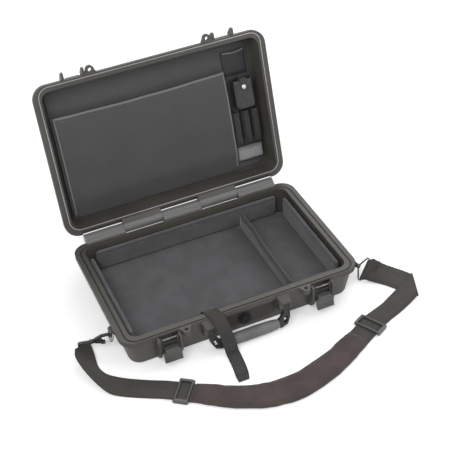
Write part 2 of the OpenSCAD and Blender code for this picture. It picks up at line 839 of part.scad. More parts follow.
// Sprung gate that closes the hook's loop
module gate_form() {
    w = hook_t - 2.4 - 2 * clear;
    translate([gate_x, 0, gate_z])
        difference() {
            along_y(w)
                union() {
                    circle(2.6);
                    translate([-gate_x - 1, -1.6]) square([gate_x + 1, 3.2]);
                }
            bar_y(1.1 + fit, w + 1);
        }
}

// Round wire of radius r through a list of points in the XY plane, mitred at each point
module wire(path, r) {
    n = 16;
    last = len(path) - 1;
    pts = [for (i = [0:last])
        let (
            before = unit(path[max(i, 1)] - path[max(i, 1) - 1]),
            after = unit(path[min(i, last - 1) + 1] - path[min(i, last - 1)]),
            run = unit(before + after),
            side = [-run[1], run[0]] / (run * before)
        )
        each [for (k = [0:n - 1])
            let (a = 360 * k / n)
            [path[i][0] + side[0] * r * cos(a), path[i][1] + side[1] * r * cos(a), r * sin(a)]]];
    sides = [for (i = [0:last - 1], k = [0:n - 1])
        let (p = n * i + k, q = n * i + (k + 1) % n)
        each [[p, p + n, q], [q, p + n, q + n]]];
    e = n * last;
    caps = [for (k = [1:n - 2]) each [[0, k, k + 1], [e, e + k + 1, e + k]]];
    polyhedron(pts, concat(sides, caps));
}

bail_bend = 2.5;
bail_neck = 5.5;

// Middle line of one half of the bail: a slanting side, a short neck and half of the bar
function bail_half(half) =
    let (
        start = [36, 3.4],
        slant = atan2(half - start[1], bail_far - bail_neck - start[0]),
        first = [bail_far - bail_neck + bail_bend * tan(slant / 2), half - bail_bend],
        second = [bail_far - bail_bend, half - bail_bend]
    )
    concat(
        [start],
        [for (k = [0:4]) let (a = 90 + slant * (1 - k / 4)) first + bail_bend * [cos(a), sin(a)]],
        [for (k = [0:5]) let (a = 90 - 18 * k) second + bail_bend * [cos(a), sin(a)]]
    );

// Wire triangle that holds the webbing, its collar on the hook's swivel post
module bail_form() {
    line = bail_half(web_w / 2 + bail_r + 2);
    last = len(line) - 1;
    difference() {
        union() {
            translate([33 + clear, 0, 0]) rotate([0, 90, 0]) cylinder(r = 4.6, h = 5);
            wire(concat(line, [for (i = [0:last]) [line[last - i][0], -line[last - i][1]]]), bail_r);
        }
        translate([30, 0, 0]) rotate([0, 90, 0]) cylinder(r = 2.2 + fit, h = 12);
    }
}

// Puts a hook part in its pose, rolled about its own length
module hook_place(pose, roll) {
    translate(pose[0]) rotate([0, 0, pose[1]]) rotate([0, pose[2], 0]) rotate([roll, 0, 0])
        children();
}

module at_left_hook() hook_place(left_pose, left_pose[4]) children();

module at_right_hook() hook_place(right_pose, right_pose[4]) children();

module hook_left() color(black) at_left_hook() hook_form();

module gate_left() color(steel) at_left_hook() gate_form();

module bail_left() color(steel) hook_place(left_pose, left_pose[3]) bail_form();

module hook_right() color(black) at_right_hook() hook_form();

module gate_right() color(steel) at_right_hook() gate_form();

module bail_right() color(steel) hook_place(right_pose, right_pose[3]) bail_form();

// ---- latches ----

arm_w = 4;
link_w = latch_gap - 2 * 1;
lug_w = link_w - 2 * arm_w - 2 * clear;

// Link with two arms, a web between them and the lever pin; rod on the origin, arms up
module link_form() {
    difference() {
        union() {
            for (s = [-1, 1])
                along_x(s * (link_w - arm_w) / 2 - arm_w / 2, arm_w)
                    union() {
                        circle(4);
                        translate([0, link_l]) circle(4);
                        translate([-3, 0]) square([6, link_l]);
                    }
            along_x(-link_w / 2, link_w) translate([-1.5, 6]) square([3, 4.5]);
        }
        bar_x(rod_d / 2 + fit, link_w + 2);
    }
    translate([0, 0, link_l]) bar_x(lever_pin_d / 2, link_w - 1);
}

hook_under = 3.3;
hook_top = 7.6;

// Lever in its shut pose with the pin on the origin
module lever_form() {
    difference() {
        union() {
            // hook and lugs
            along_x(-lug_w / 2, lug_w)
                union() {
                    circle(4);
                    polygon([
                        [-10.5, -4], [-11.5, 3], [-9, hook_top], [hook_reach - 1.5, hook_top],
                        [hook_reach, hook_top - 1.5], [hook_reach, hook_under], [3, hook_under],
                        [0, 0], [-2, -4]
                    ]);
                }
            // outer plate with its finger lip
            along_x(-link_w / 2, link_w)
                polygon([
                    [-9.8, 4], [-5.6, 2.5], [-5.6, -tail_l + 6], [-8.6, -tail_l + 2],
                    [-11, -tail_l], [-14.2, -tail_l + 1], [-12.4, -tail_l + 6], [-11.2, -8], [-11.2, -1]
                ]);
        }
        bar_x(lever_pin_d / 2 + fit, link_w + 2);
        // hollow behind the plate
        along_x(-lug_w / 2 + 4, lug_w - 8) translate([-7.8, -9]) square([20, 7]);
    }
}

// Puts a latch part on the rod, swung to its hanging place
module hang_link() {
    translate([latch_x, rod_y, rod_z]) rotate([latch_swing, 0, 0]) children();
}

module hang_lever() {
    translate([latch_x, rod_y - link_l * sin(latch_swing), rod_z + link_l * cos(latch_swing)])
        children();
}

module link_right() color(black) hang_link() link_form();

module link_left() color(black) mirror([1, 0, 0]) hang_link() link_form();

module lever_right() color(black) hang_lever() lever_form();

module lever_left() color(black) mirror([1, 0, 0]) hang_lever() lever_form();

// ---- handle ----

// Puts handle parts on their pins, swung out to where they hang
module hang_handle() {
    translate([0, pin_y, handle_z]) rotate([-handle_rest, 0, 0]) children();
}

// Arm from the eye to the bar, as an [x, z] outline
module arm_outline() {
    in_x = handle_x - eye_w / 2;
    out_x = handle_x + eye_w / 2;
    end_x = grip_l / 2 + 1;
    difference() {
        polygon([
            [in_x, 0], [out_x, 0], [out_x, -handle_drop + 20], [out_x - 2, -handle_drop + 8],
            [out_x - 9, -handle_drop - 5], [end_x + 4, -handle_drop - bar_d / 2 - 2.5],
            [end_x, -handle_drop - bar_d / 2 - 2.5], [end_x, -handle_drop + bar_d / 2 + 2.5],
            [end_x + 4, -handle_drop + bar_d / 2 + 3], [in_x, -handle_drop + 20]
        ]);
        // cored slot beside the bar
        translate([handle_x - 3, -handle_drop + 9]) circle(2.6);
        translate([handle_x - 7, -handle_drop + 1]) circle(2.6);
        translate([handle_x - 5, -handle_drop + 5]) rotate(26.6) square([5.2, 8.9], center = true);
    }
}

module handle_frame() color(black) hang_handle() {
    difference() {
        both_sides() union() {
            along_y(9) arm_outline();
            translate([handle_x, 0, 0]) bar_x(6.5, eye_w);
        }
        both_sides() translate([handle_x, 0, 0]) bar_x(handle_pin_d / 2 + fit, eye_w + 1);
    }
    translate([0, 0, -handle_drop]) bar_x(bar_d / 2, grip_l + 2 + eps);
}

module handle_grip() color([0.42, 0.42, 0.43]) hang_handle()
    translate([0, 0, -handle_drop]) rotate([0, 90, 0])
        rotate_extrude()
            polygon(concat(
                [[bar_d / 2 + fit, -grip_l / 2], [bar_d / 2 + fit, grip_l / 2]],
                [for (k = [12:-1:-12])
                    let (u = k / 12)
                    [grip_d / 2 - 2.4 * pow(abs(u), 6) - 1.1 * u * u, u * grip_l / 2]]
            ));

// ---- lid ----

lid_z = seam_z + rim_gap;
lid_top = seam_z + lid_h;

module lid_body() {
    tub([
        [lid_z + flange_h - 1, wall_x, wall_y, rim_r - 3],
        [lid_top - 5, floor_x + 2, floor_y + 3, rim_r - 6],
        [lid_top - 1.4, floor_x + 0.4, floor_y + 1.4, rim_r - 8],
        [lid_top - eps, floor_x - 3, floor_y - 2, rim_r - 11]
    ]);
}

module lid_cave() {
    tub([
        [lid_z - 1, cave_x + 5, cave_y + 3, cave_r + 2],
        [lid_top - floor_t - 5, cave_x - 1, cave_y, cave_r - 1],
        [lid_top - floor_t, cave_x - cave_draft, cave_y - cave_draft + 1, cave_r - 6]
    ]);
}

// Posts that stand beside a shut latch
module lid_posts() {
    for (s = [-1, 1])
        along_x(latch_x + s * (latch_gap + rib_w) / 2 - rib_w / 2, rib_w)
            polygon([
                [-cave_y - 6, lid_z + 0.5], [rod_y - 8, lid_z + 0.5], [rod_y - 9, lid_z + 9],
                [front_y - 3, lid_z + 24], [-cave_y - 6, lid_z + 30]
            ]);
}

// Ledge that the latch's hook pulls down on
module keeper() {
    top = lever_z + hook_under - clear;
    along_x(latch_x - 14, 28)
        polygon([
            [-cave_y - 4, lid_z + flange_h - 2], [front_y, lid_z + flange_h - 2], [front_y, top],
            [front_y + 3.5, top], [front_y + 3.5, lid_z + flange_h + 1], [-cave_y - 4, lid_z + flange_h + 1]
        ]);
}

module lid_shell() color(black) opened() {
    difference() {
        union() {
            lid_body();
            slab(case_w, case_d, rim_r, lid_z, flange_h);
            translate([0, 0, lid_z]) linear_extrude(flange_h - 2) both_sides() tab_outline();
            both_sides() lid_posts();
            // tongue that presses on the seal
            translate([0, 0, lid_z - 1.2]) linear_extrude(2) seal_ring(groove_w - 1.2);
            knuckle_row(1, -1);
        }
        lid_cave();
        knuckle_room(0, 1);
        both_sides() padlock_hole(lid_z - 1, flange_h + 4);
        both_sides()
            along_x(latch_x - latch_gap / 2, latch_gap)
                polygon([
                    [front_y + 3.5, lid_z + flange_h], [front_y - 9, lid_z + flange_h],
                    [front_y - 9, lid_top + 1], [front_y + 3.5, lid_top + 1]
                ]);
        hinge_bore();
        face_channels(lid_top);
    }
    both_sides() keeper();
}

// ---- organizer in the lid, built as the shut lid holds it ----

panel_z = lid_top - floor_t - 0.3 - panel_t;
panel_w = inner_w - 14;
panel_d = inner_d - 12;

module organizer_panel() color(soft_grey) opened()
    slab(panel_w, panel_d, cave_r - 6, panel_z, panel_t);

doc_w = panel_w - tool_w - doc_side;
doc_x0 = -panel_w / 2 + 3;
doc_x1 = doc_x0 + doc_w;
doc_y0 = -doc_mouth;
doc_y1 = panel_d / 2 - 3;

// Bag of the document pocket: open towards the latches, narrow at the hinge
module document_pocket() color([0.42, 0.42, 0.42]) opened()
    difference() {
        along_x(doc_x0, doc_w)
            polygon([
                [doc_y0, panel_z - clear], [doc_y1, panel_z - clear], [doc_y1, panel_z - 9],
                [doc_y1 - 40, panel_z - doc_t + 2], [doc_y0 + 60, panel_z - doc_t],
                [doc_y0, panel_z - doc_t + 5]
            ]);
        along_x(doc_x0 + cloth_t, doc_w - 2 * cloth_t)
            polygon([
                [doc_y0 - 1, panel_z - 1.6], [doc_y1 - cloth_t, panel_z - 1.6],
                [doc_y1 - cloth_t, panel_z - 9 + cloth_t],
                [doc_y1 - 40, panel_z - doc_t + 2 + cloth_t],
                [doc_y0 + 60, panel_z - doc_t + cloth_t], [doc_y0 - 1, panel_z - doc_t + 5 + cloth_t]
            ]);
    }

tool_x = doc_x1 + clear + tool_w / 2 + 0.5;

// Flat pocket that carries the pouch and the pen sleeves
module accessory_pocket() color([0.22, 0.22, 0.22]) opened()
    translate([tool_x, tool_y, 0]) slab(tool_w, tool_l, 5, panel_z - clear - tool_t, tool_t);

module card_pocket() color([0.25, 0.25, 0.25]) opened()
    translate([tool_x - 2, -card_y, 0]) slab(tool_w - 6, card_l, 4, panel_z - clear - card_t, card_t);

// Phone pouch: open towards the latches
module phone_pouch() color([0.18, 0.18, 0.18]) opened()
    translate([tool_x + 2, tool_y - (tool_l - pouch_l) / 2 + 4, panel_z - 2 * clear - tool_t - pouch_t])
        difference() {
            slab(pouch_w, pouch_l, 7, 0, pouch_t);
            translate([0, -6, 0])
                slab(pouch_w - 2 * cloth_t, pouch_l + 6, 5, cloth_t, pouch_t - 2 * cloth_t);
        }

module pen_sleeves() color([0.17, 0.17, 0.17]) opened()
    for (k = [-1:1])
        translate([tool_x + k * (tool_w - pen_d - 2 * cloth_t - 1) / 2, tool_y + 16,
            panel_z - 2 * clear - tool_t - pen_d / 2 - cloth_t])
            difference() {
                bar_y(pen_d / 2 + cloth_t, pen_l);
                translate([0, -cloth_t, 0]) bar_y(pen_d / 2, pen_l);
            }

module band_pocket() color([0.45, 0.45, 0.45]) opened()
    translate([tool_x, tool_y + (tool_l - band_l) / 2 - 2, panel_z - 2 * clear - tool_t - band_t])
        difference() {
            slab(tool_w - 2, band_l, 4, 0, band_t);
            translate([0, -4, 0])
                slab(tool_w - 2 - 2 * cloth_t, band_l + 4, 3, cloth_t, band_t - 2 * cloth_t);
        }

base_shell();
rim_seal();
latch_rods();
handle_pins();
hinge_pin();
valve_body();
valve_knob();
liner_floor();
liner_front();
liner_back();
liner_left();
liner_right();
divider();
hold_down_strap();
ring_left();
ring_right();
hook_left();
hook_right();
gate_left();
gate_right();
bail_left();
bail_right();
webbing_left();
webbing_right();
slider_left();
slider_right();
shoulder_pad();
link_left();
link_right();
lever_left();
lever_right();
handle_frame();
handle_grip();
lid_shell();
organizer_panel();
document_pocket();
accessory_pocket();
card_pocket();
phone_pouch();
pen_sleeves();
band_pocket();
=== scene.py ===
"""Studio scene of the laptop hard case: lid open, latches and handle hanging, strap on the floor.

The moulded parts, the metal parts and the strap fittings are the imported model's own nodes with
better finishes. Everything sewn or padded is modelled here and stands for its plain solid.
"""

import logging
import math
from dataclasses import dataclass, field
from enum import Enum
from typing import Any, Callable, Iterable, Sequence

import bmesh
import bpy
from mathutils import Matrix, Vector, noise
from mathutils.bvhtree import BVHTree


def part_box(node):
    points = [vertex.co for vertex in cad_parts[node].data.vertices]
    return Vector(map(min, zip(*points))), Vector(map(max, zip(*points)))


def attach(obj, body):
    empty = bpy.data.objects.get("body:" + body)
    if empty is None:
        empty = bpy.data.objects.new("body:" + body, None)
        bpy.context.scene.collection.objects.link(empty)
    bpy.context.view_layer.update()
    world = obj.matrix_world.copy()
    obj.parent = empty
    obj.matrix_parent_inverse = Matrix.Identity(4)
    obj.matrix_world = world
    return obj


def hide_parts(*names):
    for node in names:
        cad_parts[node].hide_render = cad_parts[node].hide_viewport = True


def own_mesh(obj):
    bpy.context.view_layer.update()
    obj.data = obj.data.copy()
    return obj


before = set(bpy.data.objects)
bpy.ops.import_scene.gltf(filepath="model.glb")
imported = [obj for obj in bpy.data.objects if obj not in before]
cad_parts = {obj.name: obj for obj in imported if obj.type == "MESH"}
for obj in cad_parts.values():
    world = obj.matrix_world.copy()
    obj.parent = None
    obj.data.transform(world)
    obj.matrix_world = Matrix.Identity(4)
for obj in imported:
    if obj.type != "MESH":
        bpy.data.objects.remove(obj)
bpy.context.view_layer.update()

LOG = logging.getLogger("laptop_case")

MM = 0.001
SWELL_VOXEL = 4.0 * MM
SWELL_FRAMES = 20
HINGE = Vector((0.0, 172.5, 70.0))
OPENED = (
    Matrix.Translation(HINGE)
    @ Matrix.Rotation(math.radians(-105.5), 4, "X")
    @ Matrix.Translation(-HINGE)
)

Points = list[Vector]
Tint = tuple[float, float, float]
Station = tuple[Vector, Vector, float, float]


# ---------------------------------------------------------------------------- shader expressions


class Level:
    """A shader socket that arithmetic extends with Math nodes."""

    def __init__(self, paint: "Paint", socket: bpy.types.NodeSocket) -> None:
        """Keeps the socket and the paint that it belongs to."""
        self.paint = paint
        self.socket = socket

    def _math(self, operation: str, *others: Any) -> "Level":
        """Adds one Math node that starts from this socket."""
        sockets = {0: self}
        sockets.update({k + 1: other for k, other in enumerate(others)})
        return self.paint.node("ShaderNodeMath", {"operation": operation}, sockets)

    def __add__(self, other: Any) -> "Level":
        """Sum."""
        return self._math("ADD", other)

    __radd__ = __add__

    def __mul__(self, other: Any) -> "Level":
        """Product."""
        return self._math("MULTIPLY", other)

    __rmul__ = __mul__

    def __sub__(self, other: Any) -> "Level":
        """Difference."""
        return self._math("SUBTRACT", other)

    def __rsub__(self, other: float) -> "Level":
        """Difference from a plain number."""
        return self._math("MULTIPLY_ADD", -1.0, other)

    def __pow__(self, other: float) -> "Level":
        """Power."""
        return self._math("POWER", other)

    def __abs__(self) -> "Level":
        """Size without its sign."""
        return self._math("ABSOLUTE")

    def sine(self) -> "Level":
        """Sine."""
        return self._math("SINE")

    def most(self, other: Any) -> "Level":
        """The larger of two levels."""
        return self._math("MAXIMUM", other)

    def rise(self, low: float, high: float) -> "Level":
        """Smooth step from 0 at low to 1 at high.

        Args:
            low: where the step starts.
            high: where the step ends.

        Returns:
            The stepped level.
        """
        return self.paint.node(
            "ShaderNodeMapRange",
            {"interpolation_type": "SMOOTHSTEP"},
            {0: self, 1: low, 2: high, 3: 0.0, 4: 1.0},
        )


class Paint:
    """One material under construction."""

    def __init__(self, name: str) -> None:
        """Starts an empty material of that name."""
        self.material = bpy.data.materials.new(name)
        self.material.use_nodes = True
        self.tree = self.material.node_tree
        self.tree.nodes.clear()

    def node(
        self,
        kind: str,
        settings: dict[str, Any] | None = None,
        sockets: dict[int | str, Any] | None = None,
        out: int | str = 0,
    ) -> Level:
        """Adds a node.

        Args:
            kind: the node's type name.
            settings: its properties, set first; "stops" fills a colour ramp.
            sockets: values or levels for its inputs, by index or name.
            out: which output to hand back.

        Returns:
            The chosen output as a level.
        """
        made = self.tree.nodes.new(kind)
        for key, value in (settings or {}).items():
            if key == "stops":
                ramp = made.color_ramp.elements
                while len(ramp) > 1:
                    ramp.remove(ramp[-1])
                ramp[0].position, ramp[0].color = value[0][0], (*value[0][1], 1.0)
                for place, tint in value[1:]:
                    ramp.new(place).color = (*tint, 1.0)
            else:
                setattr(made, key, value)
        for key, value in (sockets or {}).items():
            if isinstance(value, Level):
                self.tree.links.new(value.socket, made.inputs[key])
            else:
                made.inputs[key].default_value = value
        return Level(self, made.outputs[out])

    def place(self) -> Level:
        """Object coordinates, in metres."""
        return self.node("ShaderNodeTexCoord", out="Object")

    def cloth_place(self) -> Level:
        """The piece's own map, in metres of flat cloth."""
        return self.node("ShaderNodeTexCoord", out="UV")

    def stretched(self, vector: Level, by: Sequence[float]) -> Level:
        """Coordinates multiplied axis by axis."""
        return self.node("ShaderNodeVectorMath", {"operation": "MULTIPLY"}, {0: vector, 1: by})

    def split(self, vector: Level) -> tuple[Level, Level, Level]:
        """The three parts of a vector."""
        first = self.node("ShaderNodeSeparateXYZ", None, {0: vector})
        outs = first.socket.node.outputs
        return first, Level(self, outs[1]), Level(self, outs[2])

    def mottle(
        self, vector: Level, scale: float, detail: float = 3.0, rough: float = 0.55, twist: float = 0.0
    ) -> Level:
        """Soft noise from 0 to 1.

        Args:
            vector: coordinates.
            scale: features to the metre.
            detail: octaves.
            rough: weight of the finer octaves.
            twist: distortion.

        Returns:
            The noise level.
        """
        return self.node(
            "ShaderNodeTexNoise",
            None,
            {"Vector": vector, "Scale": scale, "Detail": detail, "Roughness": rough, "Distortion": twist},
            "Fac",
        )

    def pebbles(self, vector: Level, scale: float) -> Level:
        """Distance to the nearest cell centre of a random cell pattern."""
        return self.node(
            "ShaderNodeTexVoronoi", {"feature": "F1"}, {"Vector": vector, "Scale": scale}, "Distance"
        )

    def tone(self, mask: Level, plain: Any, masked: Any) -> Level:
        """A colour that changes from plain to masked where the mask is 1.

        Args:
            mask: level from 0 to 1.
            plain: colour or level where the mask is 0.
            masked: colour or level where the mask is 1.

        Returns:
            The mixed colour.
        """
        full = [c if isinstance(c, Level) else (*c, 1.0) for c in (plain, masked)]
        return self.node(
            "ShaderNodeMix", {"data_type": "RGBA"}, {0: mask, 6: full[0], 7: full[1]}, 2
        )

    def rounded(self, radius: float) -> Level:
        """Normal that rounds sharp edges off by that radius."""
        return self.node("ShaderNodeBevel", {"samples": 4}, {"Radius": radius})

    def edges(self, soft: Level) -> Level:
        """Mask of the edges, from how far a rounded normal leans off the plain one."""
        plain = self.node("ShaderNodeNewGeometry", out="Normal")
        lean = self.node("ShaderNodeVectorMath", {"operation": "DOT_PRODUCT"}, {0: soft, 1: plain}, 1)
        return (1.0 - lean).rise(0.015, 0.22)

    def relief(self, height: Level, depth: float, strength: float = 1.0, over: Level | None = None) -> Level:
        """Bump from a height.

        Args:
            height: level from 0 to 1.
            depth: real depth of a full step, in metres.
            strength: share of it that shows.
            over: normal that the relief lies on.

        Returns:
            The normal.
        """
        sockets: dict[int | str, Any] = {"Height": height, "Distance": depth, "Strength": strength}
        if over is not None:
            sockets["Normal"] = over
        return self.node("ShaderNodeBump", None, sockets)

    def finish(self, **sockets: Any) -> bpy.types.Material:
        """Closes the material with one surface shader.

        Args:
            sockets: inputs by name, with _ for a space; three numbers are a colour.

        Returns:
            The material.
        """
        named = {
            key.replace("_", " "): (*value, 1.0) if isinstance(value, tuple) else value
            for key, value in sockets.items()
        }
        shader = self.node("ShaderNodeBsdfPrincipled", None, named)
        self.node_out(shader)
        return self.material

    def node_out(self, shader: Level) -> None:
        """Links a shader to the material's output."""
        output = self.tree.nodes.new("ShaderNodeOutputMaterial")
        self.tree.links.new(shader.socket, output.inputs[0])


# ---------------------------------------------------------------------------- finishes


@dataclass(frozen=True)
class Finish:
    """A material of one colour, built from its name and its tint."""

    name: str
    tint: Tint

    def shade(self, share: float, lift: float = 0.0) -> Tint:
        """The tint times share, plus lift."""
        red, green, blue = self.tint
        return red * share + lift, green * share + lift, blue * share + lift


@dataclass(frozen=True)
class MouldedPlastic(Finish):
    """Moulded polymer with a fine leather-like grain, paler along its edges from rubbed wear and a painted
    highlight.
    """

    # rubbed: the paler tint of the scuffs, which are wear, and of the edges, where it is part wear and part
    # painted highlight.
    rubbed: Tint
    gloss: float = 0.42
    grain: float = 1500.0
    grain_depth: float = 0.00022
    edge: float = 0.0012
    knuckles: Tint | None = None

    def material(self) -> bpy.types.Material:
        """Builds the material."""
        paint = Paint(self.name)
        at = paint.place()
        cloud = paint.mottle(at, 9.0, 3.0)
        fine = paint.mottle(at, self.grain, 2.0, 0.6)
        cells = paint.pebbles(at, self.grain * 0.55)
        soft = paint.rounded(self.edge)
        lit_worn_edges = paint.edges(soft)
        scuffs = paint.mottle(paint.stretched(at, (1.0, 5.0, 2.0)), 38.0, 5.0, 0.7, 0.6).rise(0.60, 0.74)
        base = paint.tone(cloud.rise(0.35, 0.68), self.tint, self.shade(1.28))
        base = paint.tone(scuffs * 0.35, base, self.rubbed)
        # The edges are lightened towards the paler tint: part rubbed wear, part painted highlight.
        base = paint.tone(lit_worn_edges * (0.30 + fine * 0.5), base, self.rubbed)
        rough = self.gloss + (cloud - 0.5) * 0.16 + fine * 0.08 + scuffs * 0.08
        normal = paint.relief(fine * 0.6 + cells * 0.6, self.grain_depth, 0.8, soft)
        if self.knuckles is None:
            return paint.finish(Base_Color=base, Roughness=rough, Normal=normal, IOR=1.49)
        x, y, z = paint.split(at)
        dy, dz = y - HINGE.y * MM, z - HINGE.z * MM
        round_part = 1.0 - ((dy * dy + dz * dz) ** 0.5).rise(0.01112, 0.0113)
        ramps = dy.rise(-0.0168, -0.0162) * (1.0 - abs(dz).rise(0.0112, 0.0116))
        strip = round_part.most(ramps * (1.0 - abs(x).rise(0.2142, 0.2146)))
        streaks = paint.mottle(paint.stretched(at, (1.0, 30.0, 30.0)), 12.0, 3.0)
        grey = paint.tone(streaks.rise(0.3, 0.7), self.knuckles, tuple(c * 1.35 for c in self.knuckles))
        base = paint.tone(strip, base, grey)
        return paint.finish(
            Base_Color=base, Roughness=rough - strip * 0.10, Normal=normal, IOR=1.49
        )


@dataclass(frozen=True)
class DrawnSteel(Finish):
    """Drawn wire and rod with fine lengthwise marks."""

    gloss: float = 0.24

    def material(self) -> bpy.types.Material:
        """Builds the material."""
        paint = Paint(self.name)
        at = paint.place()
        marks = paint.mottle(paint.stretched(at, (1.0, 6.0, 6.0)), 420.0, 3.0, 0.6)
        dull = paint.mottle(at, 60.0, 4.0, 0.6)
        base = paint.tone(dull.rise(0.42, 0.72), self.tint, self.shade(0.62))
        return paint.finish(
            Base_Color=base,
            Metallic=1.0,
            Roughness=self.gloss + marks * 0.12 + dull * 0.10,
            Normal=paint.relief(marks, 0.00004, 0.6),
        )


@dataclass(frozen=True)
class SoftRubber(Finish):
    """Soft moulded grip or seal, matt and slightly chalky."""

    gloss: float = 0.62
    grain: float = 900.0

    def material(self) -> bpy.types.Material:
        """Builds the material."""
        paint = Paint(self.name)
        at = paint.place()
        cells = paint.pebbles(at, self.grain)
        cloud = paint.mottle(at, 30.0, 4.0)
        soft = paint.rounded(0.0006)
        base = paint.tone(cloud.rise(0.35, 0.7), self.tint, self.shade(1.25, 0.01))
        return paint.finish(
            Base_Color=base,
            Roughness=self.gloss + cloud * 0.12,
            Normal=paint.relief(cells, 0.00025, 0.7, soft),
        )


@dataclass(frozen=True)
class BrushedPile(Finish):
    """Brushed knit over foam: a short isotropic pile with pressed patches."""

    pile: float = 850.0
    depth: float = 0.0005

    def material(self) -> bpy.types.Material:
        """Builds the material."""
        paint = Paint(self.name)
        at = paint.place()
        hairs = paint.mottle(at, self.pile, 4.0, 0.7, 0.4)
        loops = paint.pebbles(at, self.pile * 0.8)
        pressed = paint.mottle(at, 24.0, 4.0, 0.6)
        base = paint.tone(pressed.rise(0.36, 0.66), self.shade(0.78), self.tint)
        base = paint.tone(hairs.rise(0.5, 0.8) * 0.55, base, self.shade(1.7, 0.01))
        return paint.finish(
            Base_Color=base,
            Roughness=0.84 + hairs * 0.12,
            Normal=paint.relief(hairs * 0.7 + loops * 0.5, self.depth, 0.8),
            Sheen_Weight=0.35,
            Sheen_Roughness=0.45,
        )


@dataclass(frozen=True)
class WovenNylon(Finish):
    """Plain-woven cloth whose threads follow the cloth's own map."""

    pitch: float = 0.0011
    gloss: float = 0.58
    sheen: float = 0.25
    depth: float = 0.00022
    twill: float = 0.0

    def material(self) -> bpy.types.Material:
        """Builds the material."""
        paint = Paint(self.name)
        flat = paint.cloth_place()
        wander = paint.mottle(flat, 70.0, 2.0)
        u, v, _ = paint.split(flat)
        turn = 2 * math.pi / self.pitch
        shift = (wander - 0.5) * 1.4
        warp = (u * turn + v * (turn * self.twill) + shift).sine() * 0.5 + 0.5
        weft = (v * turn + shift).sine() * 0.5 + 0.5
        weave = warp * (1.0 - weft) + weft * (1.0 - warp) * 0.7
        slub = paint.mottle(paint.stretched(flat, (1.0, 14.0, 1.0)), 160.0, 3.0, 0.6)
        cloud = paint.mottle(paint.place(), 14.0, 3.0)
        base = paint.tone(cloud.rise(0.34, 0.68), self.shade(0.82), self.tint)
        base = paint.tone(weave * 0.45, base, self.shade(1.55, 0.004))
        base = paint.tone(slub.rise(0.58, 0.75) * 0.4, base, self.shade(1.8))
        return paint.finish(
            Base_Color=base,
            Roughness=self.gloss + (1.0 - weave) * 0.22,
            Normal=paint.relief(weave + slub * 0.4, self.depth, 0.75),
            Sheen_Weight=self.sheen,
            Sheen_Roughness=0.4,
        )


@dataclass(frozen=True)
class RibbedWebbing(Finish):
    """Narrow-woven strap: cross ribs, a tight selvage along both edges and two guide lines."""

    width: float
    rib: float = 0.0021

    def material(self) -> bpy.types.Material:
        """Builds the material."""
        paint = Paint(self.name)
        flat = paint.cloth_place()
        u, v, _ = paint.split(flat)
        side = abs(u - self.width / 2)
        selvage = side.rise(self.width / 2 - 0.0036, self.width / 2 - 0.0024)
        groove = 1.0 - abs(side - self.width * 0.24).rise(0.0004, 0.0011)
        turn = 2 * math.pi / self.rib
        wander = (paint.mottle(flat, 130.0, 2.0) - 0.5) * 1.2
        ribs = (v * turn + abs(u - self.width / 2) * 300.0 + wander).sine() * 0.5 + 0.5
        yarns = (u * (2 * math.pi / 0.0013)).sine() * 0.5 + 0.5
        hairs = paint.mottle(flat, 1900.0, 3.0, 0.7)
        cloud = paint.mottle(paint.stretched(flat, (2.0, 1.0, 1.0)), 26.0, 3.0)
        base = paint.tone(cloud.rise(0.33, 0.68), self.shade(0.74), self.tint)
        base = paint.tone(ribs * yarns * 0.6, base, self.shade(1.75, 0.003))
        base = paint.tone(selvage * 0.55 + groove * 0.35, base, self.shade(0.5))
        height = ribs * 0.5 + yarns * 0.3 + hairs * 0.3 - groove * 0.6 + selvage * 0.25
        return paint.finish(
            Base_Color=base,
            Roughness=0.62 + (1.0 - ribs) * 0.2,
            Normal=paint.relief(height, 0.00045, 0.85),
            Sheen_Weight=0.2,
            Sheen_Roughness=0.35,
        )


@dataclass(frozen=True)
class PadCover(Finish):
    """Close-knit cover of the shoulder pad, with a faint lengthwise sheen."""

    knit: float = 1500.0

    def material(self) -> bpy.types.Material:
        """Builds the material."""
        paint = Paint(self.name)
        at = paint.place()
        cells = paint.pebbles(at, self.knit)
        fuzz = paint.mottle(at, self.knit * 1.3, 3.0, 0.7)
        rubbed = paint.mottle(at, 17.0, 4.0, 0.6, 0.3)
        creases = paint.mottle(paint.stretched(at, (1.0, 1.8, 1.0)), 44.0, 2.0, 0.5, 1.2)
        base = paint.tone(rubbed.rise(0.34, 0.7), self.shade(0.8), self.shade(1.2))
        base = paint.tone(fuzz.rise(0.55, 0.8) * 0.5, base, self.shade(1.9))
        return paint.finish(
            Base_Color=base,
            Roughness=0.66 + cells * 0.2,
            Normal=paint.relief(cells * 0.14 + fuzz * 0.06 + creases * 0.9, 0.0011, 0.8),
            Sheen_Weight=0.28,
            Sheen_Roughness=0.35,
            Sheen_Tint=(0.86, 0.80, 0.80),
        )


@dataclass(frozen=True)
class CoatedHide(Finish):
    """Shiny coated pouch material with creases and a pinhole grain."""

    gloss: float = 0.3

    def material(self) -> bpy.types.Material:
        """Builds the material."""
        paint = Paint(self.name)
        at = paint.place()
        grain = paint.pebbles(at, 900.0)
        folds = paint.mottle(paint.stretched(at, (1.0, 0.6, 0.6)), 90.0, 4.0, 0.6, 1.4)
        base = paint.tone(folds.rise(0.4, 0.7), self.tint, self.shade(1.9, 0.006))
        return paint.finish(
            Base_Color=base,
            Roughness=self.gloss + folds * 0.2,
            Normal=paint.relief(grain * 0.15 + folds, 0.0014, 0.8),
            Coat_Weight=0.25,
            Coat_Roughness=0.2,
        )


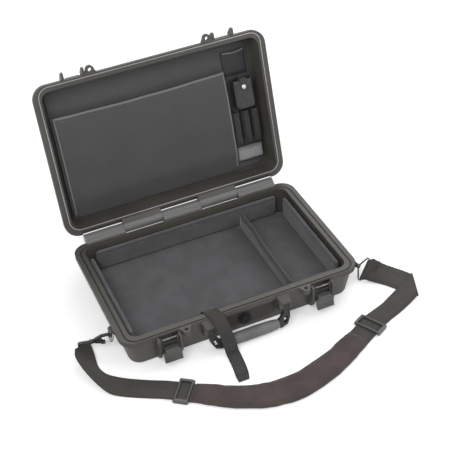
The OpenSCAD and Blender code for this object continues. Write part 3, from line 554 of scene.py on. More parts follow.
@dataclass(frozen=True)
class Thread(Finish):
    """Twisted sewing thread or binding tape."""

    gloss: float = 0.55

    def material(self) -> bpy.types.Material:
        """Builds the material."""
        paint = Paint(self.name)
        at = paint.place()
        x, y, z = paint.split(at)
        twist = ((x + y * 0.9 + z * 1.1) * (2 * math.pi / 0.0009)).sine() * 0.5 + 0.5
        fuzz = paint.mottle(at, 1500.0, 3.0)
        base = paint.tone(twist * 0.4 + fuzz * 0.4, self.tint, self.shade(1.5, 0.004))
        return paint.finish(
            Base_Color=base,
            Roughness=self.gloss + fuzz * 0.15,
            Normal=paint.relief(twist + fuzz * 0.5, 0.00015, 0.7),
            Sheen_Weight=0.15,
        )


@dataclass(frozen=True)
class HookTape(Finish):
    """Hook-and-loop tape: a dense field of tiny loops."""

    def material(self) -> bpy.types.Material:
        """Builds the material."""
        paint = Paint(self.name)
        flat = paint.cloth_place()
        loops = paint.pebbles(flat, 820.0)
        fuzz = paint.mottle(flat, 1400.0, 4.0, 0.7)
        base = paint.tone(loops.rise(0.15, 0.75), self.shade(1.8, 0.01), self.tint)
        return paint.finish(
            Base_Color=paint.tone(fuzz.rise(0.5, 0.75) * 0.5, base, self.shade(2.2)),
            Roughness=0.88 + fuzz * 0.1,
            Normal=paint.relief(fuzz + (1.0 - loops), 0.0008, 0.9),
            Sheen_Weight=0.3,
        )


class Looks(Enum):
    """Every finish of the case by what it is used for."""

    # The third colour of each moulded finish is its paler tint for scuffs and edges; on the edges it is part
    # rubbed wear and part painted highlight.
    SHELL = MouldedPlastic(
        "shell_grained_polymer", (0.054, 0.051, 0.045), (0.13, 0.125, 0.115), 0.44, 1300.0,
        knuckles=(0.115, 0.114, 0.113),
    )
    LATCH = MouldedPlastic(
        "latch_satin_polymer", (0.022, 0.022, 0.022), (0.13, 0.13, 0.13), 0.28, 2200.0, 0.00008, 0.0009
    )
    LEVER = MouldedPlastic(
        "lever_satin_polymer", (0.058, 0.058, 0.056), (0.19, 0.19, 0.185), 0.30, 2200.0, 0.00008, 0.0018
    )
    SLIDER = MouldedPlastic(
        "slider_satin_nylon", (0.060, 0.060, 0.060), (0.22, 0.22, 0.22), 0.32, 2600.0, 0.00006, 0.0014
    )
    FITTING = MouldedPlastic(
        "strap_fitting_nylon", (0.016, 0.016, 0.017), (0.07, 0.07, 0.072), 0.30, 2600.0, 0.00006, 0.0007
    )
    ARMS = MouldedPlastic(
        "handle_arm_polymer", (0.020, 0.020, 0.020), (0.08, 0.08, 0.08), 0.36, 2000.0, 0.00010, 0.0010
    )
    VALVE = MouldedPlastic(
        "valve_polymer", (0.018, 0.018, 0.018), (0.07, 0.07, 0.07), 0.40, 2400.0, 0.00008, 0.0005
    )
    # Painted highlight: the pale line laid on the open lid's tongue.
    BEAD = MouldedPlastic(
        "rim_painted_highlight", (0.30, 0.30, 0.295), (0.52, 0.52, 0.51), 0.26, 1800.0, 0.00005, 0.0004
    )
    STEEL = DrawnSteel("wire_drawn_steel", (0.66, 0.66, 0.64))
    BAIL = DrawnSteel("bail_blackened_wire", (0.15, 0.15, 0.145), 0.34)
    ROD = DrawnSteel("rod_ground_steel", (0.24, 0.236, 0.23), 0.26)
    SNAP = DrawnSteel("snap_plated_steel", (0.70, 0.69, 0.66), 0.14)
    SEAL = SoftRubber("seal_black_rubber", (0.012, 0.012, 0.012), 0.5)
    GRIP = SoftRubber("grip_grey_elastomer", (0.105, 0.105, 0.108), 0.50, 700.0)
    LINER = BrushedPile("liner_brushed_knit", (0.085, 0.085, 0.09))
    DIVIDER = BrushedPile("divider_brushed_knit", (0.060, 0.060, 0.064), 700.0, 0.0006)
    PANEL = WovenNylon("organizer_nylon", (0.052, 0.049, 0.052), 0.0013, 0.50, 0.4)
    POCKET = WovenNylon("pocket_nylon", (0.046, 0.045, 0.047), 0.0010, 0.46, 0.4)
    CARRIER = WovenNylon("carrier_nylon", (0.018, 0.018, 0.020), 0.0016, 0.40, 0.2, 0.0003, 0.5)
    ELASTIC = WovenNylon("sleeve_elastic", (0.016, 0.016, 0.018), 0.0009, 0.42, 0.25, 0.0003, 1.0)
    BAND = WovenNylon("band_elastic", (0.23, 0.23, 0.235), 0.0012, 0.44, 0.4, 0.0003, 0.0)
    HIDE = CoatedHide("pouch_coated_hide", (0.014, 0.014, 0.016))
    WEBBING = RibbedWebbing("shoulder_webbing", (0.040, 0.037, 0.032), 0.044)
    HOLD = RibbedWebbing("hold_down_webbing", (0.027, 0.025, 0.022), 0.026, 0.0017)
    PAD = PadCover("shoulder_pad_cover", (0.050, 0.035, 0.033))
    PAD_BINDING = Thread("pad_binding_tape", (0.026, 0.022, 0.024), 0.6)
    LINER_PIPING = Thread("liner_piping", (0.034, 0.034, 0.036), 0.62)
    PALE_BINDING = Thread("pocket_pale_binding", (0.125, 0.125, 0.128), 0.45)
    DARK_BINDING = Thread("pocket_dark_binding", (0.022, 0.022, 0.024), 0.5)
    BLACK_THREAD = Thread("black_thread", (0.015, 0.015, 0.016))
    GREY_THREAD = Thread("grey_thread", (0.13, 0.125, 0.125))
    TAPE = HookTape("strap_hook_tape", (0.014, 0.014, 0.015))

    @property
    def material(self) -> bpy.types.Material:
        """The finish's one material, built on first use."""
        made = bpy.data.materials.get(self.value.name)
        return made if made is not None else self.value.material()


# ---------------------------------------------------------------------------- the work bench


class Bench:
    """Makes and finishes meshes. Sizes are in millimetres in the case's own frame."""

    @staticmethod
    def clear() -> None:
        """Leaves edit mode and deselects everything."""
        if bpy.context.object is not None and bpy.context.object.mode != "OBJECT":
            bpy.ops.object.mode_set(mode="OBJECT")
        for thing in list(bpy.context.selected_objects):
            thing.select_set(False)

    @staticmethod
    def pick(piece: bpy.types.Object) -> None:
        """Makes a piece the only selected and the active one."""
        Bench.clear()
        piece.select_set(True)
        bpy.context.view_layer.objects.active = piece

    @staticmethod
    def piece(
        name: str,
        points: Iterable[Vector],
        faces: Iterable[Sequence[int]],
        maps: Sequence[Sequence[float]] | None = None,
    ) -> bpy.types.Object:
        """Makes a mesh piece.

        Args:
            name: the piece's name.
            points: corner points.
            faces: corner indices of each face.
            maps: flat cloth place of each point, in millimetres.

        Returns:
            The new object.
        """
        mesh = bpy.data.meshes.new(name)
        mesh.from_pydata([tuple(p * MM) for p in points], [], [tuple(f) for f in faces])
        if maps is not None:
            layer = mesh.uv_layers.new(name="flat")
            for loop in mesh.loops:
                place = maps[loop.vertex_index]
                layer.data[loop.index].uv = (place[0] * MM, place[1] * MM)
        made = bpy.data.objects.new(name, mesh)
        bpy.context.scene.collection.objects.link(made)
        return made

    @staticmethod
    def modify(piece: bpy.types.Object, kind: str, **settings: Any) -> bpy.types.Object:
        """Adds a modifier and applies it.

        Args:
            piece: the piece to change.
            kind: the modifier's type.
            settings: the modifier's properties.

        Returns:
            The same piece.
        """
        Bench.pick(piece)
        made = piece.modifiers.new(kind.lower(), kind)
        for key, value in settings.items():
            setattr(made, key, value)
        bpy.ops.object.modifier_apply(modifier=made.name)
        return piece

    @staticmethod
    def smooth(piece: bpy.types.Object, angle: float = 50.0) -> bpy.types.Object:
        """Shades a piece smooth except where it turns more sharply than the angle."""
        Bench.pick(piece)
        bpy.ops.object.shade_smooth_by_angle(angle=math.radians(angle))
        return piece

    @staticmethod
    def shape(piece: bpy.types.Object, work: Callable[[bmesh.types.BMesh], None]) -> bpy.types.Object:
        """Runs a function on a piece's mesh and writes it back."""
        cut = bmesh.new()
        cut.from_mesh(piece.data)
        work(cut)
        cut.to_mesh(piece.data)
        cut.free()
        piece.data.update()
        return piece

    @staticmethod
    def weld(piece: bpy.types.Object, gap: float = 0.02) -> bpy.types.Object:
        """Merges doubled points and turns every face outwards."""

        def work(cut: bmesh.types.BMesh) -> None:
            """Merges, then recalculates the normals."""
            bmesh.ops.remove_doubles(cut, verts=cut.verts, dist=gap * MM)
            bmesh.ops.recalc_face_normals(cut, faces=cut.faces)

        return Bench.shape(piece, work)

    @staticmethod
    def settle(piece: bpy.types.Object, matrix: Matrix | None = None) -> bpy.types.Object:
        """Puts a piece's place into its mesh and leaves its object at the origin.

        Args:
            piece: the piece.
            matrix: a further move, in millimetres.

        Returns:
            The same piece.
        """
        bpy.context.view_layer.update()
        move = piece.matrix_world.copy()
        if matrix is not None:
            metres = matrix.copy()
            metres.translation = matrix.translation * MM
            move = metres @ move
        piece.data.transform(move)
        piece.matrix_world = Matrix.Identity(4)
        piece.data.update()
        return piece

    @staticmethod
    def join(name: str, parts: Sequence[bpy.types.Object]) -> bpy.types.Object:
        """Joins pieces into the first one and renames it."""
        Bench.pick(parts[0])
        for part in parts[1:]:
            part.select_set(True)
        if len(parts) > 1:
            bpy.ops.object.join()
        parts[0].name = name
        parts[0].data.name = name
        return parts[0]

    @staticmethod
    def cloth(name: str, rows: Sequence[Points], thickness: float, offset: float = 0.0) -> bpy.types.Object:
        """Makes a sheet from rows of points and gives it its thickness.

        Args:
            name: the piece's name.
            rows: equal rows of points; a row runs along the sheet's width.
            thickness: the cloth's thickness.
            offset: -1 to 1, which side the thickness grows to.

        Returns:
            The closed sheet, mapped by its own length and width.
        """
        count = len(rows[0])
        across = [0.0]
        for k in range(1, count):
            across.append(across[-1] + sum((r[k] - r[k - 1]).length for r in rows) / len(rows))
        along = [0.0]
        for j in range(1, len(rows)):
            along.append(along[-1] + sum((rows[j][k] - rows[j - 1][k]).length for k in range(count)) / count)
        faces = [
            (j * count + k, j * count + k + 1, (j + 1) * count + k + 1, (j + 1) * count + k)
            for j in range(len(rows) - 1)
            for k in range(count - 1)
        ]
        maps = [(across[k], along[j]) for j in range(len(rows)) for k in range(count)]
        made = Bench.piece(name, [p for row in rows for p in row], faces, maps)
        Bench.modify(made, "SOLIDIFY", thickness=thickness * MM, offset=offset, use_even_offset=True)
        return Bench.smooth(made, 60)

    @staticmethod
    def sweep(
        name: str,
        path: Points,
        up: Vector,
        side_r: float,
        up_r: float,
        sides: int = 8,
        closed: bool = False,
    ) -> bpy.types.Object:
        """Makes a cord or tape of oval section along a path.

        Args:
            name: the piece's name.
            path: points of its middle line.
            up: the upward direction.
            side_r: half width of the section.
            up_r: half height of the section.
            sides: points round the section.
            closed: whether the path is a loop.

        Returns:
            The closed piece.
        """
        last = len(path) - 1
        points: Points = []
        for i, at in enumerate(path):
            before = path[i - 1] if i > 0 or closed else at
            after = path[(i + 1) % len(path)] if i < last or closed else at
            run = (after - before).normalized()
            side = run.cross(up).normalized()
            top = side.cross(run)
            for k in range(sides):
                a = 2 * math.pi * k / sides
                points.append(at + side * (math.cos(a) * side_r) + top * (math.sin(a) * up_r))
        maps = [(k * side_r, float(i)) for i in range(len(path)) for k in range(sides)]
        made = Bench.piece(name, points, Bench.tube(len(path), sides, closed), maps)
        return Bench.smooth(Bench.weld(made, 0.001), 60)

    @staticmethod
    def tube(rings: int, sides: int, closed: bool) -> list[tuple[int, ...]]:
        """Faces between rings of points, with both ends filled unless the tube is a loop."""
        last = rings - 1
        faces: list[tuple[int, ...]] = []
        for i in range(rings if closed else last):
            a, b = i * sides, (i + 1) % rings * sides
            faces += [(a + k, a + (k + 1) % sides, b + (k + 1) % sides, b + k) for k in range(sides)]
        if not closed:
            faces += [tuple(range(sides)), tuple(last * sides + k for k in reversed(range(sides)))]
        return faces

    @staticmethod
    def stitches(
        name: str,
        path: Points,
        up: Vector | Sequence[Vector],
        length: float = 2.6,
        gap: float = 1.3,
        thick: float = 0.32,
    ) -> bpy.types.Object:
        """Makes a row of stitches along a path.

        Args:
            name: the piece's name.
            path: points that the row follows.
            up: the upward direction, or one for each point.
            length: length of a stitch.
            gap: gap between two stitches.
            thick: half thickness of the thread.

        Returns:
            All the stitches as one piece.
        """
        sides = 5
        ups = [up] * len(path) if isinstance(up, Vector) else up
        points: Points = []
        faces: list[tuple[int, ...]] = []
        travelled = [0.0]
        for a, b in zip(path, path[1:]):
            travelled.append(travelled[-1] + (b - a).length)

        def at(s: float) -> tuple[Vector, Vector]:
            """Point and upward direction at a length along the path."""
            k = 0
            while k < len(path) - 2 and travelled[k + 1] < s:
                k += 1
            share = (s - travelled[k]) / max(travelled[k + 1] - travelled[k], 1e-6)
            share = min(max(share, 0.0), 1.0)
            return path[k].lerp(path[k + 1], share), ups[k].lerp(ups[k + 1], share).normalized()

        s = gap / 2
        while s + length <= travelled[-1]:
            (a, ua), (b, ub) = at(s), at(s + length)
            run = (b - a).normalized()
            side = run.cross(ua).normalized()
            base = len(points)
            for place, size in ((-0.02, 0.25), (0.2, 0.95), (0.8, 0.95), (1.02, 0.25)):
                middle = a.lerp(b, place) + ua.lerp(ub, place) * (0.05 + 0.2 * size * thick)
                for k in range(sides):
                    turn = 2 * math.pi * k / sides
                    wide, high = math.cos(turn) * thick * size, math.sin(turn) * thick * size * 0.8
                    points.append(middle + side * wide + ua * high)
            for ring in range(3):
                for k in range(sides):
                    p, q = base + ring * sides + k, base + ring * sides + (k + 1) % sides
                    faces.append((p, q, q + sides, p + sides))
            faces.append(tuple(base + k for k in reversed(range(sides))))
            faces.append(tuple(base + 3 * sides + k for k in range(sides)))
            s += length + gap
        made = Bench.piece(name, points, faces)
        Bench.shape(made, lambda cut: bmesh.ops.recalc_face_normals(cut, faces=cut.faces))
        return Bench.smooth(made, 80)

    @staticmethod
    def pillow(
        name: str,
        width: float,
        length: float,
        thickness: float,
        corner: float,
        edge: float,
        step: float,
        relief: Callable[[float, float, float], float],
    ) -> bpy.types.Object:
        """Makes a padded slab with round corners, lying in x and y with its middle on the origin.

        Args:
            name: the piece's name.
            width: size along x.
            length: size along y.
            thickness: full thickness along z.
            corner: radius of its outline's corners.
            edge: width over which its border rounds off.
            step: distance between points.
            relief: height added to the front at x, y and the distance from the outline.

        Returns:
            The closed piece.
        """

        def marks(size: float) -> list[float]:
            """Places along one side, closer together near the border."""
            near = [0.0, edge * 0.06, edge * 0.2, edge * 0.42, edge * 0.7, edge]
            inner = max(2, round((size - 2 * edge) / step))
            middle = [edge + (size - 2 * edge) * k / inner for k in range(1, inner)]
            return [v - size / 2 for v in [*near, *middle, *[size - n for n in reversed(near)]]]

        def inside(x: float, y: float) -> tuple[float, float, float]:
            """Point pulled onto the outline if outside, and its distance from it."""
            qx, qy = abs(x) - (width / 2 - corner), abs(y) - (length / 2 - corner)
            if qx > 0 and qy > 0:
                away = math.hypot(qx, qy)
                if away > corner:
                    x -= math.copysign(qx - qx * corner / away, x)
                    y -= math.copysign(qy - qy * corner / away, y)
                    return x, y, 0.0
                return x, y, corner - away
            return x, y, min(width / 2 - abs(x), length / 2 - abs(y))

        xs, ys = marks(width), marks(length)
        points: Points = []
        maps: list[tuple[float, float]] = []
        for front in (1.0, -1.0):
            for y in ys:
                for x in xs:
                    px, py, d = inside(x, y)
                    share = min(d / edge, 1.0)
                    z = front * thickness / 2 * math.sqrt(max(0.0, 1 - (1 - share) ** 2))
                    if front > 0:
                        z += relief(px, py, d) * share
                    points.append(Vector((px, py, z)))
                    maps.append((px, py))
        made = Bench.piece(name, points, Bench.two_sides(len(ys), len(xs)), maps)
        return Bench.smooth(Bench.weld(made, 0.01), 60)

    @staticmethod
    def two_sides(rows: int, columns: int) -> list[tuple[int, ...]]:
        """Faces of two grids of points that meet at their borders, one after the other."""
        faces: list[tuple[int, ...]] = []
        for a in (j * columns + k for j in range(rows - 1) for k in range(columns - 1)):
            b = a + rows * columns
            faces.append((a, a + 1, a + columns + 1, a + columns))
            faces.append((b, b + columns, b + columns + 1, b + 1))
        return faces

    @staticmethod
    def cap(
        name: str,
        sides: int,
        size: tuple[float, float],
        facing: float,
        steps: Sequence[tuple[float, float]],
        matrix: Matrix,
        angle: float,
    ) -> bpy.types.Object:
        """Makes a disc with a stepped dome on one end.

        Args:
            name: the piece's name.
            sides: corners of its outline.
            size: its radius and its thickness.
            facing: 1 for a dome on its upper end, -1 for its lower end.
            steps: inset and rise of each ring of the dome.
            matrix: where it goes.
            angle: sharpest turn that is shaded smooth.

        Returns:
            The closed piece.
        """
        Bench.clear()
        bpy.ops.mesh.primitive_cylinder_add(vertices=sides, radius=size[0] * MM, depth=size[1] * MM)
        made = bpy.context.object
        bpy.ops.object.mode_set(mode="EDIT")
        bpy.ops.mesh.select_all(action="DESELECT")
        bpy.ops.object.mode_set(mode="OBJECT")
        for face in made.data.polygons:
            face.select = face.normal.z * facing > 0.9
        bpy.ops.object.mode_set(mode="EDIT")
        bpy.ops.mesh.select_mode(type="FACE")
        for inset, rise in steps:
            bpy.ops.mesh.inset(thickness=inset * MM, depth=rise * MM)
        bpy.ops.object.mode_set(mode="OBJECT")
        made.name = name
        return Bench.smooth(Bench.settle(made, matrix), angle)

    @staticmethod
    def swell(piece: bpy.types.Object, cap: float, node: str, pressure: float) -> bpy.types.Object:
        """Puffs a padded piece up by cloth simulation and keeps it in its solid's box.

        Args:
            piece: the closed piece, a little thinner than it ends up.
            cap: how far a point may move.
            node: the CAD node whose box it stays in.
            pressure: the air's force.

        Returns:
            The same piece.
        """
        Bench.modify(piece, "REMESH", mode="VOXEL", voxel_size=SWELL_VOXEL)
        rest = [v.co.copy() for v in piece.data.vertices]
        normals = [v.normal.copy() for v in piece.data.vertices]
        made = piece.modifiers.new("air", "CLOTH")
        for key, value in (
            ("quality", 6), ("mass", 0.25), ("tension_stiffness", 12), ("compression_stiffness", 8),
            ("bending_stiffness", 0.4), ("use_pressure", True), ("uniform_pressure_force", pressure),
        ):
            setattr(made.settings, key, value)
        made.settings.effector_weights.gravity = 0.0
        made.collision_settings.use_collision = False
        made.point_cache.frame_start, made.point_cache.frame_end = 1, SWELL_FRAMES
        for step in range(1, SWELL_FRAMES + 1):
            bpy.context.scene.frame_set(step)
        graph = bpy.context.evaluated_depsgraph_get()
        moved = [v.co.copy() for v in piece.evaluated_get(graph).data.vertices]
        piece.modifiers.remove(made)
        bpy.context.scene.frame_set(1)
        drift = sum(((m - r) for m, r in zip(moved, rest)), Vector()) / len(rest)
        for vertex, start, end, normal in zip(piece.data.vertices, rest, moved, normals):
            step_by = end - drift - start
            out = step_by.dot(normal)
            along = step_by - normal * out
            out = min(max(out, 0.0), cap * MM)
            vertex.co = start + normal * out + along * min(0.3, 0.3 * cap * MM / max(along.length, 1e-6))
        Bench.modify(piece, "SUBSURF", levels=1, render_levels=1)
        low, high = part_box(node)
        slack = 0.0002
        for vertex in piece.data.vertices:
            for k in range(3):
                vertex.co[k] = min(max(vertex.co[k], low[k] + slack), high[k] - slack)
        piece.data.update()
        return Bench.smooth(piece, 70)

    @staticmethod
    def ruffle(at: Vector, scale: float, seed: float) -> float:
        """Smooth noise from -1 to 1 at a point, the same on every run."""
        return noise.noise(at * scale + Vector((seed, seed * 1.7, seed * 0.3)))

    @staticmethod
    def dress(
        piece: bpy.types.Object, look: Looks, body: str, slot: str, nodes: Sequence[str] = ()
    ) -> bpy.types.Object:
        """Gives a piece its finish, its body and the nodes that it stands for.

        Args:
            piece: the finished piece.
            look: its finish.
            body: the body that it rides on.
            slot: not used.
            nodes: CAD nodes that it replaces.

        Returns:
            The same piece.
        """
        piece.data.materials.clear()
        piece.data.materials.append(look.material)
        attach(piece, body)
        if nodes:
            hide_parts(*nodes)
        LOG.info("%s: %d faces on %s", piece.name, len(piece.data.polygons), body)
        return piece

    @staticmethod
    def hang(piece: bpy.types.Object, look: Looks, slot: str, *nodes: str) -> None:
        """Moves a piece made for the shut lid onto the open one and dresses it.

        Args:
            piece: the finished piece.
            look: its finish.
            slot: passed on to dress, which does not use it.
            nodes: CAD nodes that it replaces.
        """
        Bench.dress(Bench.settle(piece, OPENED), look, "lid", slot, nodes)


def curve_through(points: Sequence[Vector], steps: int) -> Points:
    """A smooth line through points.

    Args:
        points: the points.
        steps: stretches between two of them.

    Returns:
        The line's points.
    """
    line: Points = []
    last = len(points) - 1
    for i in range(last):
        a, b = points[max(i - 1, 0)], points[i]
        c, d = points[i + 1], points[min(i + 2, last)]
        for k in range(steps):
            t = k / steps
            square, cube = 2 * a - 5 * b + 4 * c - d, 3 * b - a - 3 * c + d
            line.append(0.5 * (2 * b + (c - a) * t + square * t * t + cube * t ** 3))
    line.append(points[last].copy())
    return line


def round_loop(
    half: tuple[float, float], r: float, middle: tuple[float, float, float], turns: int = 6, gap: float = 7.0
) -> Points:
    """A closed rectangle with round corners, lying flat.

    Args:
        half: half its width and half its depth.
        r: corner radius.
        middle: its middle.
        turns: stretches in each corner.
        gap: shortest distance between points on its sides.

    Returns:
        Points round it.
    """
    path: Points = []
    x0, y0, z = middle
    for sx, sy, start in ((1, 1, 0), (-1, 1, 90), (-1, -1, 180), (1, -1, 270)):
        for k in range(turns + 1):
            a = math.radians(start + 90 * k / turns)
            x, y = sx * (half[0] - r) + r * math.cos(a), sy * (half[1] - r) + r * math.sin(a)
            path.append(Vector((x0 + x, y0 + y, z)))
    fine: Points = []
    for a, b in zip(path, path[1:] + path[:1]):
        pieces = max(1, int((b - a).length / gap))
        fine += [a.lerp(b, k / pieces) for k in range(pieces)]
    return fine


# ---------------------------------------------------------------------------- the studio


@dataclass
class Studio:
    """Pale floor, white surround, three soft lamps and the camera."""

    camera_place: Vector = field(default_factory=lambda: Vector((-0.5487, -1.5171, 1.4291)))
    azimuth: float = -19.88
    elevation: float = 40.32
    roll: float = -4.96
    lens: float = 84.28
    shift: tuple[float, float] = (0.0274, 0.0793)
    floor_size: float = 14.0
    sky: float = 0.62

    def camera(self) -> None:
        """Makes the camera at the photograph's place and angle."""
        az, el, roll = (math.radians(a) for a in (self.azimuth, self.elevation, self.roll))
        back = Vector((math.sin(az) * math.cos(el), -math.cos(az) * math.cos(el), math.sin(el)))
        right = (-back).cross(Vector((0, 0, 1))).normalized()
        up = right.cross(-back)
        across = right * math.cos(roll) + up * math.sin(roll)
        above = up * math.cos(roll) - right * math.sin(roll)
        data = bpy.data.cameras.new("case_camera")
        data.sensor_width = 36.0
        data.lens = self.lens
        data.shift_x, data.shift_y = self.shift
        data.clip_start, data.clip_end = 0.05, 60.0
        made = bpy.data.objects.new("case_camera", data)
        bpy.context.scene.collection.objects.link(made)
        rows = [(across[k], above[k], back[k], self.camera_place[k]) for k in range(3)]
        made.matrix_world = Matrix([*rows, (0, 0, 0, 1)])
        bpy.context.scene.camera = made

    def floor(self) -> None:
        """Makes the pale floor, which stays white to the camera and keeps the shadows."""
        Bench.clear()
        bpy.ops.mesh.primitive_grid_add(
            x_subdivisions=8, y_subdivisions=8, size=self.floor_size, location=(0, 0, -0.0004)
        )
        made = bpy.context.object
        made.name = "studio_floor"
        Bench.settle(made)
        paint = Paint("floor_paper")
        seen = self._seen(paint)
        fibres = paint.mottle(paint.place(), 60.0, 3.0)
        tint = paint.tone(fibres, (0.80, 0.80, 0.80), (0.84, 0.84, 0.84))
        paper = paint.node("ShaderNodeBsdfDiffuse", None, {"Color": tint})
        glow = paint.node("ShaderNodeEmission", None, {"Color": (1, 1, 1, 1), "Strength": seen * 0.30})
        both = paint.node("ShaderNodeAddShader", None, {0: paper, 1: glow})
        paint.node_out(both)
        made.data.materials.append(paint.material)

    @staticmethod
    def _seen(paint: Paint) -> Level:
        """1 on rays that show the surround itself or its reflection."""
        path = paint.node("ShaderNodeLightPath", out="Is Camera Ray")
        outs = path.socket.node.outputs
        return path.most(Level(paint, outs["Is Glossy Ray"])).most(Level(paint, outs["Is Transmission Ray"]))

    def sky_dome(self) -> None:
        """Makes the surround: white where it is seen, a plain soft light elsewhere."""
        world = bpy.data.worlds.new("studio_surround")
        bpy.context.scene.world = world
        world.use_nodes = True
        tree = world.node_tree
        tree.nodes.clear()
        path = tree.nodes.new("ShaderNodeLightPath")
        most = [tree.nodes.new("ShaderNodeMath") for _ in range(2)]
        for made in most:
            made.operation = "MAXIMUM"
        tree.links.new(path.outputs["Is Camera Ray"], most[0].inputs[0])
        tree.links.new(path.outputs["Is Transmission Ray"], most[0].inputs[1])
        tree.links.new(most[0].outputs[0], most[1].inputs[0])
        half = tree.nodes.new("ShaderNodeMath")
        half.operation = "MULTIPLY"
        half.inputs[1].default_value = 0.85
        tree.links.new(path.outputs["Is Glossy Ray"], half.inputs[0])
        tree.links.new(half.outputs[0], most[1].inputs[1])
        level = tree.nodes.new("ShaderNodeMapRange")
        level.inputs[3].default_value = self.sky
        level.inputs[4].default_value = 1.0
        tree.links.new(most[1].outputs[0], level.inputs[0])
        ground = tree.nodes.new("ShaderNodeBackground")
        ground.inputs[0].default_value = (1, 1, 1, 1)
        tree.links.new(level.outputs[0], ground.inputs[1])
        output = tree.nodes.new("ShaderNodeOutputWorld")
        tree.links.new(ground.outputs[0], output.inputs[0])

    @staticmethod
    def lamp(name: str, place: Vector, target: Vector, size: float, power: float) -> None:
        """Makes one square soft lamp.

        Args:
            name: the lamp's name.
            place: where it is, in metres.
            target: what it points at.
            size: length of its sides.
            power: its power in watts.
        """
        data = bpy.data.lights.new(name, "AREA")
        data.shape, data.size, data.energy = "SQUARE", size, power
        made = bpy.data.objects.new(name, data)
        made.location = place
        made.rotation_mode = "QUATERNION"
        made.rotation_quaternion = (target - place).to_track_quat("-Z", "Y")
        bpy.context.scene.collection.objects.link(made)

    def build(self) -> None:
        """Builds the whole studio."""
        bpy.context.scene.view_settings.view_transform = "Standard"
        self.camera()
        self.floor()
        self.sky_dome()
        middle = Vector((0.0, 0.05, 0.12))
        self.lamp("key_softbox", Vector((-1.3, -1.5, 2.3)), middle, 1.4, 34.0)
        self.lamp("fill_softbox", Vector((1.9, -1.1, 1.7)), middle, 1.6, 16.0)
        self.lamp("back_softbox", Vector((0.7, 1.9, 2.1)), middle, 1.5, 22.0)


# ---------------------------------------------------------------------------- moulded and metal parts


@dataclass
class HardParts:
    """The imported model's rigid nodes, with the finish that each gets."""

    finishes: dict[Looks, tuple[str, ...]] = field(
        default_factory=lambda: {
            Looks.SHELL: ("base_shell", "lid_shell"),
            Looks.SEAL: ("rim_seal",),
            Looks.ROD: ("latch_rods", "handle_pins", "hinge_pin"),
            Looks.VALVE: ("valve_body", "valve_knob"),
            Looks.STEEL: ("ring_left", "ring_right", "gate_left", "gate_right"),
            Looks.BAIL: ("bail_left", "bail_right"),
            Looks.FITTING: ("hook_left", "hook_right"),
            Looks.SLIDER: ("slider_left", "slider_right"),
            Looks.LATCH: ("link_left", "link_right"),
            Looks.LEVER: ("lever_left", "lever_right"),
            Looks.ARMS: ("handle_frame",),
            Looks.GRIP: ("handle_grip",),
        }
    )
    rod: tuple[float, float, float] = (159.0, -167.0, 60.0)
    rod_half: float = 37.5 / 2 + 4.5
    pin: tuple[float, float, float] = (78.0, -169.0, 46.0)
    pin_half: float = (13 + 0.6 + 13) / 2
    tongue_half_x: float = (495 - 23.0) / 2
    tongue_y: tuple[float, float] = (-161 + 3.8, 145 + 3.0)
    tongue_z: float = 68.95
    tongue_r: float = 22.0

    DOME = ((0.35, 0.28), (0.55, 0.18), (0.8, 0.1))

    def dress(self) -> None:
        """Assigns the finishes to the nodes' own slots."""
        for look, names in self.finishes.items():
            for name in names:
                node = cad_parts[name]
                if not node.material_slots:
                    node.data.materials.append(look.material)
                for holder in node.material_slots:
                    holder.material = look.material
                LOG.info("%s: finish %s", name, look.value.name)

    def rivets(self) -> None:
        """Domed rod and pin ends beside the latches and the handle's eyes."""
        ends: list[bpy.types.Object] = []
        kinds = (("rod_end", self.rod, self.rod_half, 2.9), ("pin_end", self.pin, self.pin_half, 3.3))
        for s in (-1, 1):
            for d in (-1, 1):
                for name, (x, y, z), half, radius in kinds:
                    place = Matrix.Translation((s * x + d * (half + 0.3), y, z))
                    turn = Matrix.Rotation(math.radians(90.0 * d), 4, "Y")
                    ends.append(Bench.cap(name, 24, (radius, 0.8), 1, self.DOME, place @ turn, 40))
        Bench.dress(Bench.join("rod_and_pin_ends", ends), Looks.ROD, "case", "steel")

    def rim_highlight(self) -> None:
        """A painted highlight: the pale line that runs round the open lid's tongue."""
        y0, y1 = self.tongue_y
        half, middle = (self.tongue_half_x, (y1 - y0) / 2), (0.0, (y0 + y1) / 2, self.tongue_z)
        loop = round_loop(half, self.tongue_r, middle, 8, 12.0)
        made = Bench.sweep("lid_rim_highlight", loop, Vector((0, 0, -1)), 0.95, 0.45, 8, True)
        Bench.hang(made, Looks.BEAD, "shell")

    def build(self) -> None:
        """Dresses the nodes and adds the small metal details and the painted highlight line round the rim."""
        self.dress()
        self.rivets()
        self.rim_highlight()


# ---------------------------------------------------------------------------- padded liner


